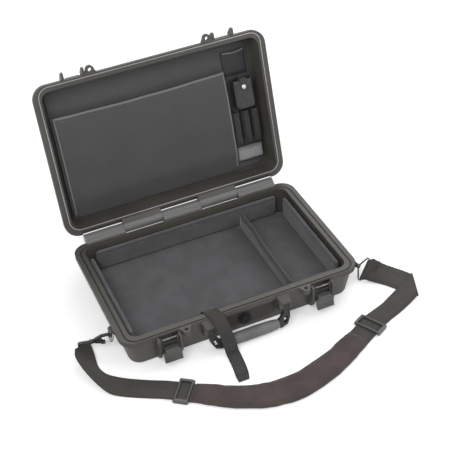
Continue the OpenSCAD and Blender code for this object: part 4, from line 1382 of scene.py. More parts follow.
@dataclass
class PaddedLiner:
    """Padded floor, four padded walls and the divider inside the base."""

    half_x: float = 222.0
    half_y: float = 140.5
    floor_low: float = 4.1
    floor_t: float = 8.0
    wall_low: float = 12.3
    wall_top: float = 62.0
    wall_t: float = 9.0
    corner: float = 18.0
    divider_x: float = 118.0
    divider_t: float = 11.0

    def floor(self) -> None:
        """The padded floor with its sewn border."""
        width, length = 2 * self.half_x - 1.0, 2 * self.half_y - 1.0

        def relief(x: float, y: float, d: float) -> float:
            """Sunken seam round the border and two across, with soft dents."""
            seam = -1.1 * math.exp(-((d - 15) / 2.2) ** 2)
            for line in (-76.0, 21.0):
                seam -= 1.0 * math.exp(-((x - line) / 2.4) ** 2)
            return seam + 0.35 * Bench.ruffle(Vector((x, y, 0)), 0.035, 3.0)

        made = Bench.pillow("liner_floor_pad", width, length, self.floor_t - 0.4, 12.0, 6.0, 5.5, relief)
        Bench.settle(made, Matrix.Translation((0, 0, self.floor_low + self.floor_t / 2)))
        Bench.dress(made, Looks.LINER, "case", "liner", ["liner_floor"])

    def wall(self, node: str, length: float, at: Vector, turn: float) -> None:
        """One padded wall standing on its long edge.

        Args:
            node: the CAD node it stands for.
            length: its length.
            at: middle of its foot.
            turn: turn about Z, in degrees.
        """
        height = self.wall_top - self.wall_low
        seed = at.x * 0.01 + at.y * 0.02

        def relief(x: float, y: float, d: float) -> float:
            """Shallow seams every 90 mm, a top seam and soft dents."""
            pitch = length / max(2, round(length / 92))
            near = (x + length / 2) % pitch
            near = min(near, pitch - near)
            seam = -0.7 * math.exp(-(near / 2.4) ** 2) if abs(x) < length / 2 - 30 else 0.0
            top = -0.6 * math.exp(-((y - (height / 2 - 9)) / 1.6) ** 2)
            return seam + top + 0.4 * Bench.ruffle(Vector((x, y, 0)), 0.05, seed)

        made = Bench.pillow(f"{node}_pad", length, height, self.wall_t - 1.4, 4.0, 4.2, 5.0, relief)
        stand = (
            Matrix.Translation(at + Vector((0, 0, height / 2)))
            @ Matrix.Rotation(math.radians(turn), 4, "Z")
            @ Matrix.Rotation(math.radians(90), 4, "X")
        )
        Bench.settle(made, stand)
        Bench.swell(made, 1.2, node, 3.0)
        Bench.dress(made, Looks.LINER, "case", "liner", [node])

    def walls(self) -> None:
        """The four walls."""
        long_l, short_l = 2 * (self.half_x - self.corner), 2 * (self.half_y - self.corner)
        y, x = self.half_y - self.wall_t / 2, self.half_x - self.wall_t / 2
        for node, length, place, turn in (
            ("liner_front", long_l, (0, -y), 180),
            ("liner_back", long_l, (0, y), 0),
            ("liner_left", short_l, (-x, 0), 90),
            ("liner_right", short_l, (x, 0), -90),
        ):
            self.wall(node, length, Vector((*place, self.wall_low)), turn)

    def piping(self) -> None:
        """Cord sewn along the inner top edge of the walls."""
        parts: list[bpy.types.Object] = []
        z = self.wall_top - 4.0
        long_h, short_h = self.half_x - self.corner - 3, self.half_y - self.corner - 3
        inner_y, inner_x = self.half_y - self.wall_t, self.half_x - self.wall_t
        for s in (-1, 1):
            along = [Vector((x, s * (inner_y - 0.1), z)) for x in self._span(long_h)]
            across = [Vector((s * (inner_x - 0.1), y, z)) for y in self._span(short_h)]
            parts += [Bench.sweep("piping", run, Vector((0, 0, 1)), 0.9, 0.9) for run in (along, across)]
        Bench.dress(Bench.join("liner_wall_piping", parts), Looks.LINER_PIPING, "case", "liner")

    @staticmethod
    def _span(half: float) -> list[float]:
        """Evenly spaced places from -half to half."""
        count = max(2, round(2 * half / 8))
        return [-half + 2 * half * k / count for k in range(count + 1)]

    def divider(self) -> None:
        """The padded divider with its stepped top edge."""
        reach = self.half_y - self.wall_t - 0.3
        steps = [(reach, 40.0), (60.0, 44.0), (0.0, 36.0), (-reach, 36.0)]
        top = curve_through([Vector((y, height, 0)) for y, height in steps], 6)
        half = (self.divider_t - 1.6) / 2
        levels, last = 8, len(top) - 1
        points: Points = []
        for side in (-1, 1):
            for j in range(levels + 1):
                for k, p in enumerate(top):
                    y = max(-reach + 0.3, min(reach - 0.3, p.x))
                    share = min(1.0, min(min(j, levels - j) * 5.0, min(k, last - k) * 10.0) / 5.0)
                    x = self.divider_x + side * half * math.sqrt(max(0.0, 1 - (1 - share) ** 2))
                    points.append(Vector((x, y, self.wall_low + 0.2 + j / levels * (p.y - 1.0))))
        faces = Bench.two_sides(levels + 1, len(top))
        made = Bench.weld(Bench.piece("divider_pad", points, faces), 0.01)
        Bench.modify(made, "SUBSURF", levels=1, render_levels=1)
        Bench.swell(made, 1.6, "divider", 4.0)
        Bench.dress(made, Looks.DIVIDER, "case", "liner", ["divider"])
        ridge = [Vector((self.divider_x, p.x, self.wall_low + p.y - 0.9)) for p in top if abs(p.x) < reach - 3]
        edge = Bench.sweep("divider_top_binding", ridge, Vector((0, 0, 1)), 2.6, 0.9, 10)
        Bench.dress(edge, Looks.LINER_PIPING, "case", "liner")

    def build(self) -> None:
        """Builds every piece of the liner."""
        self.floor()
        self.walls()
        self.piping()
        self.divider()


# ---------------------------------------------------------------------------- organizer in the lid


@dataclass
class LidOrganizer:
    """Cloth-covered panel with its pockets, built as the shut lid holds it and then opened."""

    panel_w: float = 439.0
    panel_d: float = 278.0
    panel_z: float = 111.7
    panel_t: float = 3.0
    doc_x: tuple[float, float] = (-216.5, 157.5)
    doc_y: tuple[float, float] = (-82.0, 136.0)
    tool_x: float = 188.3
    tool_w: float = 60.0
    tool_y: tuple[float, float] = (-65.0, 121.0)
    card_y: tuple[float, float] = (-120.0, -68.0)
    pouch_y: tuple[float, float] = (-61.0, 1.0)
    pouch_w: float = 44.0
    pouch_t: float = 22.0
    pen_y: tuple[float, float] = (7.0, 81.0)
    pen_r: float = 7.5
    pen_pitch: float = 22.0
    band_y: tuple[float, float] = (89.0, 119.0)

    TOWARDS = Vector((0, 0, -1))
    SNAP_STEPS = ((0.5, 0.35), (0.7, -0.15), (0.3, 0.25), (0.9, 0.15), (0.9, 0.05))

    def panel(self) -> None:
        """The covered backing panel with a bound edge and its sewn border."""

        def relief(x: float, y: float, d: float) -> float:
            """Shallow dents of a cloth stretched over a board."""
            return 0.16 * Bench.ruffle(Vector((x, y, 0)), 0.02, 9.0) - 0.25 * math.exp(-((d - 8) / 1.3) ** 2)

        size = (self.panel_w - 1.5, self.panel_d - 1.5, self.panel_t - 0.5)
        made = Bench.pillow("organizer_cloth", *size, 11.5, 2.2, 7.0, relief)
        flip = Matrix.Translation((0, 0, self.panel_z + self.panel_t / 2)) @ Matrix.Rotation(math.pi, 4, "X")
        Bench.settle(made, OPENED @ flip)
        Bench.dress(made, Looks.PANEL, "lid", "organizer", ["organizer_panel"])
        loop = round_loop((self.panel_w / 2 - 1.0, self.panel_d / 2 - 1.0), 11.5, (0, 0, self.panel_z + 0.9))
        edge = Bench.sweep("organizer_edge_binding", loop, self.TOWARDS, 1.3, 1.3, 8, True)
        Bench.hang(edge, Looks.DARK_BINDING, "organizer")
        loop = round_loop((self.panel_w / 2 - 9.0, self.panel_d / 2 - 9.0), 6.0, (0, 0, self.panel_z - 0.05))
        sewn = Bench.stitches("organizer_border_stitches", loop + loop[:1], self.TOWARDS)
        Bench.hang(sewn, Looks.GREY_THREAD, "organizer")

    @property
    def carrier_z(self) -> float:
        """Height of the accessory carrier's face."""
        return self.panel_z - 0.6 - 6.0

    @staticmethod
    def _back(
        name: str,
        x: tuple[float, float],
        y: tuple[float, float],
        z: float,
        cells: tuple[int, int],
        thick: float,
    ) -> bpy.types.Object:
        """A pocket's flat back sheet.

        Args:
            name: the piece's name.
            x: its two ends along x.
            y: its two ends along y.
            z: its height.
            cells: faces along x and along y.
            thick: its thickness.

        Returns:
            The closed sheet.
        """
        rows = [
            [Vector((x[0] + (x[1] - x[0]) * k / cells[0], y[0] + (y[1] - y[0]) * j / cells[1], z))
             for k in range(cells[0] + 1)]
            for j in range(cells[1] + 1)
        ]
        return Bench.cloth(name, rows, thick)

    def _bag_depth(self, x: float, y: float) -> float:
        """How far the document pocket's front stands off the panel at x, y."""
        y0, y1 = self.doc_y
        keys = [
            (y0, 15.2), (y0 + 30, 18.0), (y0 + 60, 19.9), (y0 + 110, 19.8),
            (y1 - 40, 18.2), (y1 - 14, 12.0), (y1, 8.6),
        ]
        depth = keys[-1][1]
        for (a, da), (b, db) in zip(keys, keys[1:]):
            if y <= b:
                t = min(max((y - a) / (b - a), 0.0), 1.0)
                depth = da + (db - da) * t
                break
        side = min(x - self.doc_x[0], self.doc_x[1] - x)
        foot = y1 - y
        for near, span in ((side, 7.0), (foot, 5.0)):
            share = min(max(near / span, 0.0), 1.0)
            depth *= (1 - (1 - share) ** 3) ** (1 / 3)
        return depth

    def _front_z(self, x: float, y: float) -> float:
        """Height of the document pocket's front at x, y."""
        return self.panel_z - 0.4 - self._bag_depth(x, y)

    def document_pocket(self) -> None:
        """The wide pocket: a bellied front sheet, its back sheet, bindings and stitches."""
        (x0, x1), (y0, y1) = self.doc_x, self.doc_y
        fine = [0.0, 0.25, 0.9, 2.0, 3.6, 5.6, 8.5, 13.0]
        inner = 44
        xs = [x0 + v for v in fine]
        xs += [x0 + 13 + (x1 - x0 - 26) * k / inner for k in range(1, inner)]
        xs += [x1 - v for v in reversed(fine)]
        ys = [y0 + (y1 - y0 - 9) * k / 30 for k in range(31)] + [y1 - v for v in (6.0, 4.0, 2.4, 1.2, 0.5, 0.1)]
        rows: list[Points] = []
        for y in ys:
            row = []
            for x in xs:
                depth = self._bag_depth(x, y)
                inner_share = min(1.0, min(x - x0, x1 - x) / 25) * min(1.0, (y1 - y) / 25)
                pull = 0.9 * math.sin((x - x0) * 0.055 + (y - y0) * 0.03) * math.exp(-(y - y0) / 70)
                sag = Bench.ruffle(Vector((x * 0.7, y, 0)), 0.022, 5.0) * 1.1 + pull
                depth = min(depth, max(0.0, depth - 1.0 + inner_share * sag))
                dip = 3.5 * math.sin(math.pi * (x - x0) / (x1 - x0)) * math.exp(-(y - y0) / 14)
                row.append(Vector((x, y + dip, self.panel_z - 0.4 - depth)))
            rows.append(row)
        front = Bench.cloth("document_front", rows, 1.1)
        back = self._back("document_back", (x0 + 0.8, x1 - 0.8), (y0, y1), self.panel_z - 0.95, (24, 14), 0.9)
        mouth = [p + Vector((0, -0.2, 0)) for p in rows[0]]
        made = Bench.join("document_pocket_cloth", [front, back])
        Bench.hang(made, Looks.POCKET, "pocket", "document_pocket")
        rim = Bench.sweep("document_mouth_binding", mouth[2:-2], Vector((0, -1, 0)), 1.2, 2.8, 10)
        runs = [[Vector((x, y, self._front_z(x, y) + 0.3)) for y in ys[:31]] for x in (x1 - 3.4, x0 + 3.4)]
        sides = [Bench.sweep("side", run, self.TOWARDS, 1.9, 0.8) for run in runs]
        Bench.hang(rim, Looks.PALE_BINDING, "pocket")
        Bench.hang(Bench.join("document_side_bindings", sides), Looks.PALE_BINDING, "pocket")
        lines: list[bpy.types.Object] = []
        for shift in (5.2, 7.8):
            line = [p + Vector((0, shift, 0)) for p in mouth[6:-6]]
            line = [Vector((p.x, p.y, self._front_z(p.x, p.y) + 0.2)) for p in line]
            lines.append(Bench.stitches("row", line, self.TOWARDS))
        foot = [Vector((x, y1 + 1.6, self.panel_z - 0.1)) for x in xs[2:-2]]
        lines.append(Bench.stitches("row", foot, self.TOWARDS))
        sewn = Bench.join("document_pocket_stitches", lines)
        Bench.hang(sewn, Looks.GREY_THREAD, "pocket")

    def carrier(self) -> None:
        """The flat accessory panel: padded, bound, with sewn cross seams."""
        width, length = self.tool_w, self.tool_y[1] - self.tool_y[0]
        middle = (self.tool_y[0] + self.tool_y[1]) / 2

        def relief(x: float, y: float, d: float) -> float:
            """Sunk cross seams where the pouch and the sleeves are sewn on."""
            seams = sum(math.exp(-((y + middle - line) / 1.6) ** 2) for line in (3.5, 84.5))
            return -1.0 * seams + 0.35 * Bench.ruffle(Vector((x, y, 0)), 0.06, 2.0)

        made = Bench.pillow("accessory_carrier", width - 0.6, length - 0.6, 5.2, 5.0, 3.0, 4.5, relief)
        z = self.panel_z - 0.3 - 3.0
        place = Matrix.Translation((self.tool_x, middle, z)) @ Matrix.Rotation(math.pi, 4, "X")
        Bench.settle(made, OPENED @ place)
        Bench.dress(made, Looks.CARRIER, "lid", "organizer", ["accessory_pocket"])
        loop = round_loop((width / 2 - 1.6, length / 2 - 1.6), 4.0, (self.tool_x, middle, z))
        edge = Bench.sweep("accessory_carrier_binding", loop, self.TOWARDS, 1.4, 2.7, 8, True)
        Bench.hang(edge, Looks.DARK_BINDING, "organizer")

    def card_pocket(self) -> None:
        """The small pocket above: a sheet over a sheet, open at its top, with a pale bound mouth."""
        x_mid, width = self.tool_x - 2.0, self.tool_w - 6.0
        y0, y1 = self.card_y
        rows: list[Points] = []
        last, cells = 14, 20
        for j in range(last + 1):
            y = y0 + (y1 - y0) * j / last
            row = []
            for k in range(cells + 1):
                u = k / cells * 2 - 1
                side = (1 - abs(u) ** 5) ** (1 / 5) if abs(u) < 1 else 0.0
                foot = min(1.0, (last - j) / 2.2)
                fullness = 0.82 + 0.18 * math.cos(math.pi * j / last)
                depth = 4.3 * side * (1 - (1 - foot) ** 2) ** 0.5 * fullness
                scoop = 3.0 * (1 - u * u) * math.exp(-j / 2.5)
                row.append(Vector((x_mid + u * (width / 2 - 0.4), y + scoop, self.panel_z - 0.45 - depth)))
            rows.append(row)
        front = Bench.cloth("card_front", rows, 0.8)
        ends = (x_mid - (width / 2 - 1), x_mid + (width / 2 - 1))
        back = self._back("card_back", ends, (y0, y1), self.panel_z - 0.8, (12, 8), 0.8)
        made = Bench.join("card_pocket_cloth", [front, back])
        Bench.hang(made, Looks.CARRIER, "pocket", "card_pocket")
        rim = Bench.sweep("card_mouth_binding", rows[0][1:-1], Vector((0, -1, 0)), 0.9, 1.8, 8)
        Bench.hang(rim, Looks.PALE_BINDING, "pocket")

    def phone_pouch(self) -> None:
        """The open pouch: a boxed, creased sleeve of coated hide with a strap over its mouth."""
        x_mid = self.tool_x + 2.0
        y0, y1 = self.pouch_y
        z_back = self.carrier_z
        half_w, t = self.pouch_w / 2, self.pouch_t
        around = 40

        def ring(y: float, share: float, swell: float) -> Points:
            """One cross-section of the sleeve."""
            points: Points = []
            for k in range(around):
                a = 2 * math.pi * k / around
                c, s = math.cos(a), math.sin(a)
                power = 0.42
                px = math.copysign(abs(c) ** power, c) * half_w * share
                pz = math.copysign(abs(s) ** power, s) * t / 2 * share
                crease = 0.55 * math.sin(5 * a + y * 0.14) * (1 - share * 0.4)
                crease += 0.6 * Bench.ruffle(Vector((px, y, pz)), 0.11, 4.0)
                scale = min(1 + (crease * 0.5 - 0.6 + swell) / 22, 0.985)
                points.append(Vector((x_mid + px * scale, y, z_back - t / 2 + pz * scale)))
            return points

        rows = [
            ring(y, share, swell)
            for y, share, swell in (
                (y0 + 0.4, 0.955, 0.3), (y0 + 3, 0.975, 0.5), (y0 + 9, 0.99, 0.3), (y0 + 16, 0.985, -0.2),
                (y0 + 24, 0.99, 0.1), (y0 + 32, 0.985, -0.1), (y0 + 40, 0.99, 0.2), (y0 + 47, 0.985, -0.2),
                (y0 + 53, 0.98, 0.0), (y0 + 58, 0.96, 0.0), (y1 - 2.2, 0.90, 0.0), (y1 - 1.0, 0.74, 0.0),
                (y1 - 0.6, 0.4, 0.0), (y1 - 0.5, 0.06, 0.0),
            )
        ]
        rows = [row + row[:1] for row in rows]
        made = Bench.cloth("phone_pouch_hide", rows, 1.3, -1.0)
        Bench.weld(made, 0.02)
        Bench.modify(made, "SUBSURF", levels=1, render_levels=1)
        Bench.smooth(made, 60)
        Bench.hang(made, Looks.HIDE, "pocket", "phone_pouch")
        rim = Bench.sweep("phone_pouch_mouth_binding", rows[0][:-1], Vector((0, -1, 0)), 0.9, 1.3, 8, True)
        Bench.hang(rim, Looks.DARK_BINDING, "pocket")
        front_z = z_back - t
        line = curve_through(
            [
                Vector((x_mid, y0 + 8, z_back - 0.2)), Vector((x_mid, y0 - 4, z_back - 1.5)),
                Vector((x_mid, y0 - 7.5, z_back - 7)), Vector((x_mid, y0 - 7.0, z_back - 14)),
                Vector((x_mid, y0 - 2.5, front_z - 0.2)), Vector((x_mid, y0 + 7, front_z - 1.1)),
                Vector((x_mid, y0 + 20, front_z - 0.9)),
            ],
            5,
        )
        rows = [[p + Vector((w, 0, 0)) for w in (-8, -4, 0, 4, 8)] for p in line]
        strap = Bench.cloth("phone_pouch_strap", rows, 1.1)
        Bench.hang(strap, Looks.CARRIER, "pocket")
        place = Matrix.Translation((x_mid, y0 + 14, front_z - 1.6))
        snap = Bench.cap("phone_pouch_snap", 32, (4.6, 0.7), -1, self.SNAP_STEPS, place, 35)
        Bench.hang(snap, Looks.SNAP, "steel")

    def pen_sleeves(self) -> None:
        """Three elastic sleeves, open at the top, gathered at the foot."""
        parts: list[bpy.types.Object] = []
        rims: list[bpy.types.Object] = []
        z = self.carrier_z - self.pen_r
        y0, y1 = self.pen_y
        rings, around = 18, 20
        for n, k in enumerate((-1, 0, 1)):
            x = self.tool_x + k * self.pen_pitch
            rows: list[Points] = []
            for j in range(rings + 1):
                s = j / rings
                r = self.pen_r - 0.5 - 1.1 * s ** 3
                if j >= rings - 2:
                    r *= (1.0, 0.72, 0.12)[j - rings + 2]
                row = []
                for i in range(around + 1):
                    a = 2 * math.pi * i / around
                    gather = 0.35 * math.sin(6 * a + n) * s
                    gather += 0.25 * math.sin(s * 24 + n * 2 + 0.4 * math.sin(a))
                    rr = max(0.2, min(r + gather, self.pen_r - 0.1))
                    slant = 1.6 * math.cos(a) * (1 - s) ** 4
                    y = y0 + (y1 - y0 - 0.6) * min(1.0, s * 1.02)
                    row.append(Vector((x + rr * math.sin(a), y + slant * 0.6 + 0.6, z - rr * math.cos(a))))
                row[-1] = row[0].copy()
                rows.append(row)
            part = Bench.weld(Bench.cloth("sleeve", rows, 1.0), 0.02)
            parts.append(Bench.smooth(part, 60))
            rims.append(Bench.sweep("sleeve_rim", rows[0][:-1], Vector((0, -1, 0)), 0.7, 1.1, 6, True))
        made = Bench.join("pen_sleeves_elastic", parts)
        Bench.hang(made, Looks.ELASTIC, "pocket", "pen_sleeves")
        rim = Bench.join("pen_sleeve_rims", rims)
        Bench.hang(rim, Looks.DARK_BINDING, "pocket")

    def band_pocket(self) -> None:
        """The low elastic pocket at the foot, its pale mouth drawn into small gathers."""
        y0, y1 = self.band_y
        half, depth = (self.tool_w - 2) / 2, 9.6
        z_back = self.carrier_z
        rows: list[Points] = []
        last, cells = 12, 48
        for j in range(last + 1):
            s = j / last
            row = []
            for k in range(cells + 1):
                u = k / cells * 2 - 1
                side = (1 - abs(u) ** 3.4) ** (1 / 3.4) if abs(u) < 1 else 0.0
                foot = min(1.0, (1 - s) / 0.22)
                d = depth * side * (1 - (1 - foot) ** 2) ** 0.5
                d -= (0.5 + 0.5 * math.sin(k * 1.35 + s)) * 0.7 * (0.4 + s) * side
                bow = 3.0 * (1 - u * u) * (1 - s) ** 2
                x, y = self.tool_x + u * (half - 0.4), y0 + bow + (y1 - y0 - 0.4) * s
                row.append(Vector((x, y, z_back - 0.3 - max(d - 0.3, 0.0))))
            rows.append(row)
        front = Bench.cloth("band_front", rows, 0.9)
        ends = (self.tool_x - (half - 1), self.tool_x + (half - 1))
        back = self._back("band_back", ends, (y0, y1), z_back - 0.5, (12, 6), 0.7)
        made = Bench.join("band_pocket_elastic", [front, back])
        Bench.hang(made, Looks.BAND, "pocket", "band_pocket")
        rim = Bench.sweep("band_mouth_hem", rows[0][1:-1], Vector((0, -1, 0)), 0.8, 2.0, 8)
        Bench.hang(rim, Looks.PALE_BINDING, "pocket")

    def build(self) -> None:
        """Builds the panel and every pocket."""
        self.panel()
        self.document_pocket()
        self.carrier()
        self.card_pocket()
        self.phone_pouch()
        self.pen_sleeves()
        self.band_pocket()


# ---------------------------------------------------------------------------- straps


@dataclass
class BailPose:
    """Where a hook's loop is, and how its bail turns."""

    at: Vector
    turn: float
    dip: float
    roll: float

    def direction(self, v: Sequence[float]) -> Vector:
        """A direction of the bail's own frame, in the case's frame."""
        turned = Matrix.Rotation(math.radians(self.roll), 3, "X") @ Vector(v)
        turned = Matrix.Rotation(math.radians(self.dip), 3, "Y") @ turned
        return Matrix.Rotation(math.radians(self.turn), 3, "Z") @ turned


@dataclass
class ShoulderStrap:
    """Webbing on both sides and the shoulder pad, all lying on the floor."""

    width: float = 44.0
    thickness: float = 1.9
    bail_far: float = 51.0
    loop_r: float = 2.9
    slide_z: float = 3.5
    floor_z: float = 1.1
    pad_t: float = 11.0
    pad_end_w: float = 45.0
    pad_mid_w: float = 63.0
    crown: float = 0.25
    left: BailPose = field(default_factory=lambda: BailPose(Vector((-255.8, -87.4, 34.7)), 152.6, 17.1, 42.0))
    right: BailPose = field(default_factory=lambda: BailPose(Vector((247.4, -89.9, 37.5)), -55.0, 13.4, 70.0))

    def __post_init__(self) -> None:
        """Works out the pad's middle line and the adjusters' places."""
        line = [
            (-156, -263), (-131, -281), (-98, -302), (-62, -320), (-26, -331), (10, -334), (46, -330),
            (84, -319), (120, -305), (154, -289), (186, -272),
        ]
        self.middle = curve_through([Vector((x, y, 0)) for x, y in line], 3)
        self.run_in = (self.middle[1] - self.middle[0]).normalized()
        self.run_out = (self.middle[-1] - self.middle[-2]).normalized()
        self.first, self.last = self.middle[0], self.middle[-1]
        self.adjuster_left = self.first - self.run_in * 16.5
        self.adjuster_right = self.last + self.run_out * 36.0

    def wrap(self, pose: BailPose, run: Sequence[float]) -> list[tuple[Vector, Vector]]:
        """Loop of webbing round a bail's bar.

        Args:
            pose: the bail's pose.
            run: direction in which the webbing leaves.

        Returns:
            Pairs of edge points.
        """
        mid = pose.at + pose.direction((self.bail_far, 0, 0))
        u = pose.direction((0, 1, 0))
        away = Vector(run)
        e1 = (away - u * away.dot(u)).normalized()
        e2 = u.cross(e1)
        r = self.loop_r
        loop = [mid + e1 * 26 - e2 * (r * 0.62), mid + e1 * 14 - e2 * (r * 0.8), mid + e1 * 4 - e2 * r]
        for k in range(9):
            a = math.radians(-90 - 22.5 * k)
            loop.append(mid + (e1 * math.cos(a) + e2 * math.sin(a)) * r)
        loop.append(mid + e1 * 4 + e2 * r)
        half = u * (self.width / 2)
        pairs = [(p + half, p - half) for p in loop]
        for edge in (point for pair in pairs for point in pair):
            edge.z = max(edge.z, self.floor_z)
        return pairs

    def flat_pair(self, mid: Vector, run: Vector, z: float) -> tuple[Vector, Vector]:
        """Edge points across a flat stretch that runs towards run."""
        side = Vector((run.y, -run.x, 0)) * (self.width / 2)
        return Vector((mid.x + side.x, mid.y + side.y, z)), Vector((mid.x - side.x, mid.y - side.y, z))

    @staticmethod
    def smooth_pairs(pairs: Sequence[tuple[Vector, Vector]], steps: int) -> list[tuple[Vector, Vector]]:
        """Both edges as smooth lines."""
        return list(zip(*(curve_through([pair[k] for pair in pairs], steps) for k in (0, 1))))

    def ribbon(self, name: str, pairs: Sequence[tuple[Vector, Vector]]) -> bpy.types.Object:
        """Makes a strap from its edge pairs, with thin selvages and a little cross-wise crown.

        Args:
            name: the piece's name.
            pairs: edge points.

        Returns:
            The closed strap.
        """
        rows: list[Points] = []
        shares = (0.0, 0.04, 0.12, 0.3, 0.5, 0.7, 0.88, 0.96, 1.0)
        for i, (a, b) in enumerate(pairs):
            before, after = pairs[max(i - 1, 0)], pairs[min(i + 1, len(pairs) - 1)]
            run = (after[0] + after[1] - before[0] - before[1]).normalized()
            up = run.cross(b - a).normalized()
            wave = Bench.ruffle(a.lerp(b, 0.5), 0.03, 1.3) * 0.35
            rows.append([a.lerp(b, s) + up * (self.crown + wave) * math.sin(math.pi * s) for s in shares])
        return Bench.cloth(name, rows, self.thickness * 0.92)

    def webbing_left(self) -> None:
        """Left strap: bail loop, a standing turn, then flat to the left adjuster."""
        run = [
            ((-321, -82, 29), (-288, -88, 5)), ((-326, -97, 27.5), (-290, -104, 2.6)),
            ((-325, -116, 25), (-291, -120, 1.8)), ((-319, -142, 19), (-288, -134, 1.5)),
            ((-308, -170, 10), (-281, -147, 1.4)), ((-294, -196, 4), (-267, -161, 1.4)),
            ((-271, -214, 1.6), (-246, -177, 1.4)), ((-240, -233, 1.6), (-216, -196, 1.6)),
            ((-212, -249.5, 2.6), (-188, -212.5, 2.6)),
        ]
        pairs = self.wrap(self.left, (-8, -16, -3)) + self.smooth_pairs(
            [(Vector(a), Vector(b)) for a, b in run], 4
        )
        for place in (
            self.adjuster_left - self.run_in * 17, self.adjuster_left,
            self.first - self.run_in * 2, self.first + self.run_in * 6,
        ):
            pairs.append(self.flat_pair(place, self.run_in, self.slide_z))
        made = self.ribbon("webbing_left_strap", pairs)
        Bench.dress(made, Looks.WEBBING, "case", "webbing", ["webbing_left"])

    def webbing_right(self) -> None:
        """Right strap: bail loop, down to the floor, folded over itself, back to the adjuster."""
        run = [
            ((304, -113, 31), (277, -142, 5)), ((323, -122, 16), (289, -152, 2.8)),
            ((341, -131, 6), (303, -166, 1.5)), ((355, -143, 1.6), (319, -190, 1.3)),
        ]
        back = [
            ((347, -171.5, 4.1), (334, -227, 3.9)), ((319, -186, 4.1), (313, -237, 2.6)),
            ((297, -197, 3.0), (289, -247, 1.6)), ((268, -211, 1.6), (264, -256, 1.5)),
        ]
        fold_a, fold_b = Vector((367, -161, 0)), Vector((344, -222, 0))
        out = Vector((fold_a.y - fold_b.y, fold_b.x - fold_a.x, 0)).normalized()
        fold: list[tuple[Vector, Vector]] = []
        for k in range(7):
            a = math.radians(-90 + 30 * k)
            shift = out * 1.35 * (math.cos(a) - 1) + Vector((0, 0, 1.3 + 1.35 * (1 + math.sin(a))))
            fold.append((fold_a + shift, fold_b + shift))
        pairs = self.wrap(self.right, (18, 1, -7))
        pairs += self.smooth_pairs([(Vector(a), Vector(b)) for a, b in run], 4)
        pairs += fold
        pairs += self.smooth_pairs([(Vector(a), Vector(b)) for a, b in back], 4)
        for place in (
            self.adjuster_right + self.run_out * 17,
            self.adjuster_right,
            self.adjuster_right - self.run_out * 17,
            self.last + self.run_out * 2, self.last - self.run_out * 6,
        ):
            pairs.append(self.flat_pair(place, -self.run_out, self.slide_z))
        made = self.ribbon("webbing_right_strap", pairs)
        Bench.dress(made, Looks.WEBBING, "case", "webbing", ["webbing_right"])

    def pad(self) -> None:
        """The padded shoulder piece: simulated swell, then seam, binding and stitches."""
        last = len(self.middle) - 1
        around = 28
        points: Points = []
        sizes: list[Station] = []
        for i, mid in enumerate(self.middle):
            run = (self.middle[min(i + 1, last)] - self.middle[max(i - 1, 0)]).normalized()
            side = Vector((run.y, -run.x, 0))
            s = math.sin(math.pi * i / last)
            half = (self.pad_end_w + (self.pad_mid_w - self.pad_end_w) * s) / 2 - 0.8
            thick = (self.pad_t - 0.9) * (0.62 + 0.38 * s ** 0.35)
            sizes.append((mid, side, half, thick))
            for k in range(around):
                a = 2 * math.pi * k / around
                c, t = math.cos(a), math.sin(a)
                across = math.copysign(abs(c) ** 0.62, c)
                up = math.copysign(abs(t) ** 0.8, t)
                z = thick * (0.36 + (0.64 if up > 0 else 0.34) * up)
                points.append(mid + side * (across * half) + Vector((0, 0, z + 0.15)))
        faces = Bench.tube(len(self.middle), around, False)
        made = Bench.weld(Bench.piece("shoulder_pad_cushion", points, faces), 0.01)
        limit = math.radians(55)
        Bench.modify(made, "BEVEL", width=1.6 * MM, segments=2, limit_method="ANGLE", angle_limit=limit)
        Bench.swell(made, 2.6, "shoulder_pad", 4.0)
        self.press_seams(made, sizes)
        Bench.dress(made, Looks.PAD, "case", "pad", ["shoulder_pad"])
        self.trim_pad(made, sizes)

    def press_seams(self, pad: bpy.types.Object, sizes: Sequence[Station]) -> None:
        """Sinks the sewn border into the pad's top and adds the long soft creases.

        Args:
            pad: the pad.
            sizes: middle, side, half width and thickness along it.
        """
        for vertex in pad.data.vertices:
            here = Vector((vertex.co.x / MM, vertex.co.y / MM, 0))
            best = min(range(len(sizes)), key=lambda i: (sizes[i][0] - here).length_squared)
            mid, side, half, thick = sizes[best]
            across = (here - mid).dot(side)
            height = vertex.co.z / MM
            if height > thick * 0.45:
                seam = math.exp(-((abs(across) - (half - 6.0)) / 1.7) ** 2)
                crease = Bench.ruffle(Vector((here.x * 0.35, here.y, 0)), 0.06, 6.0)
                vertex.co.z -= (0.9 * seam + max(0.0, crease) * 0.7) * MM
        pad.data.update()

    def trim_pad(self, pad: bpy.types.Object, sizes: Sequence[Station]) -> None:
        """Adds the binding round the pad's edge and two rows of stitches.

        Args:
            pad: the finished pad.
            sizes: middle, side, half width and thickness along it.
        """
        tree = BVHTree.FromObject(pad, bpy.context.evaluated_depsgraph_get())
        up = Vector((0, 0, 1))

        def on_top(p: Vector) -> Vector | None:
            """The point on the pad's top above p."""
            hit = tree.ray_cast(Vector((p.x * MM, p.y * MM, 0.1)), Vector((0, 0, -1)))
            return hit[0] / MM if hit[0] is not None else None

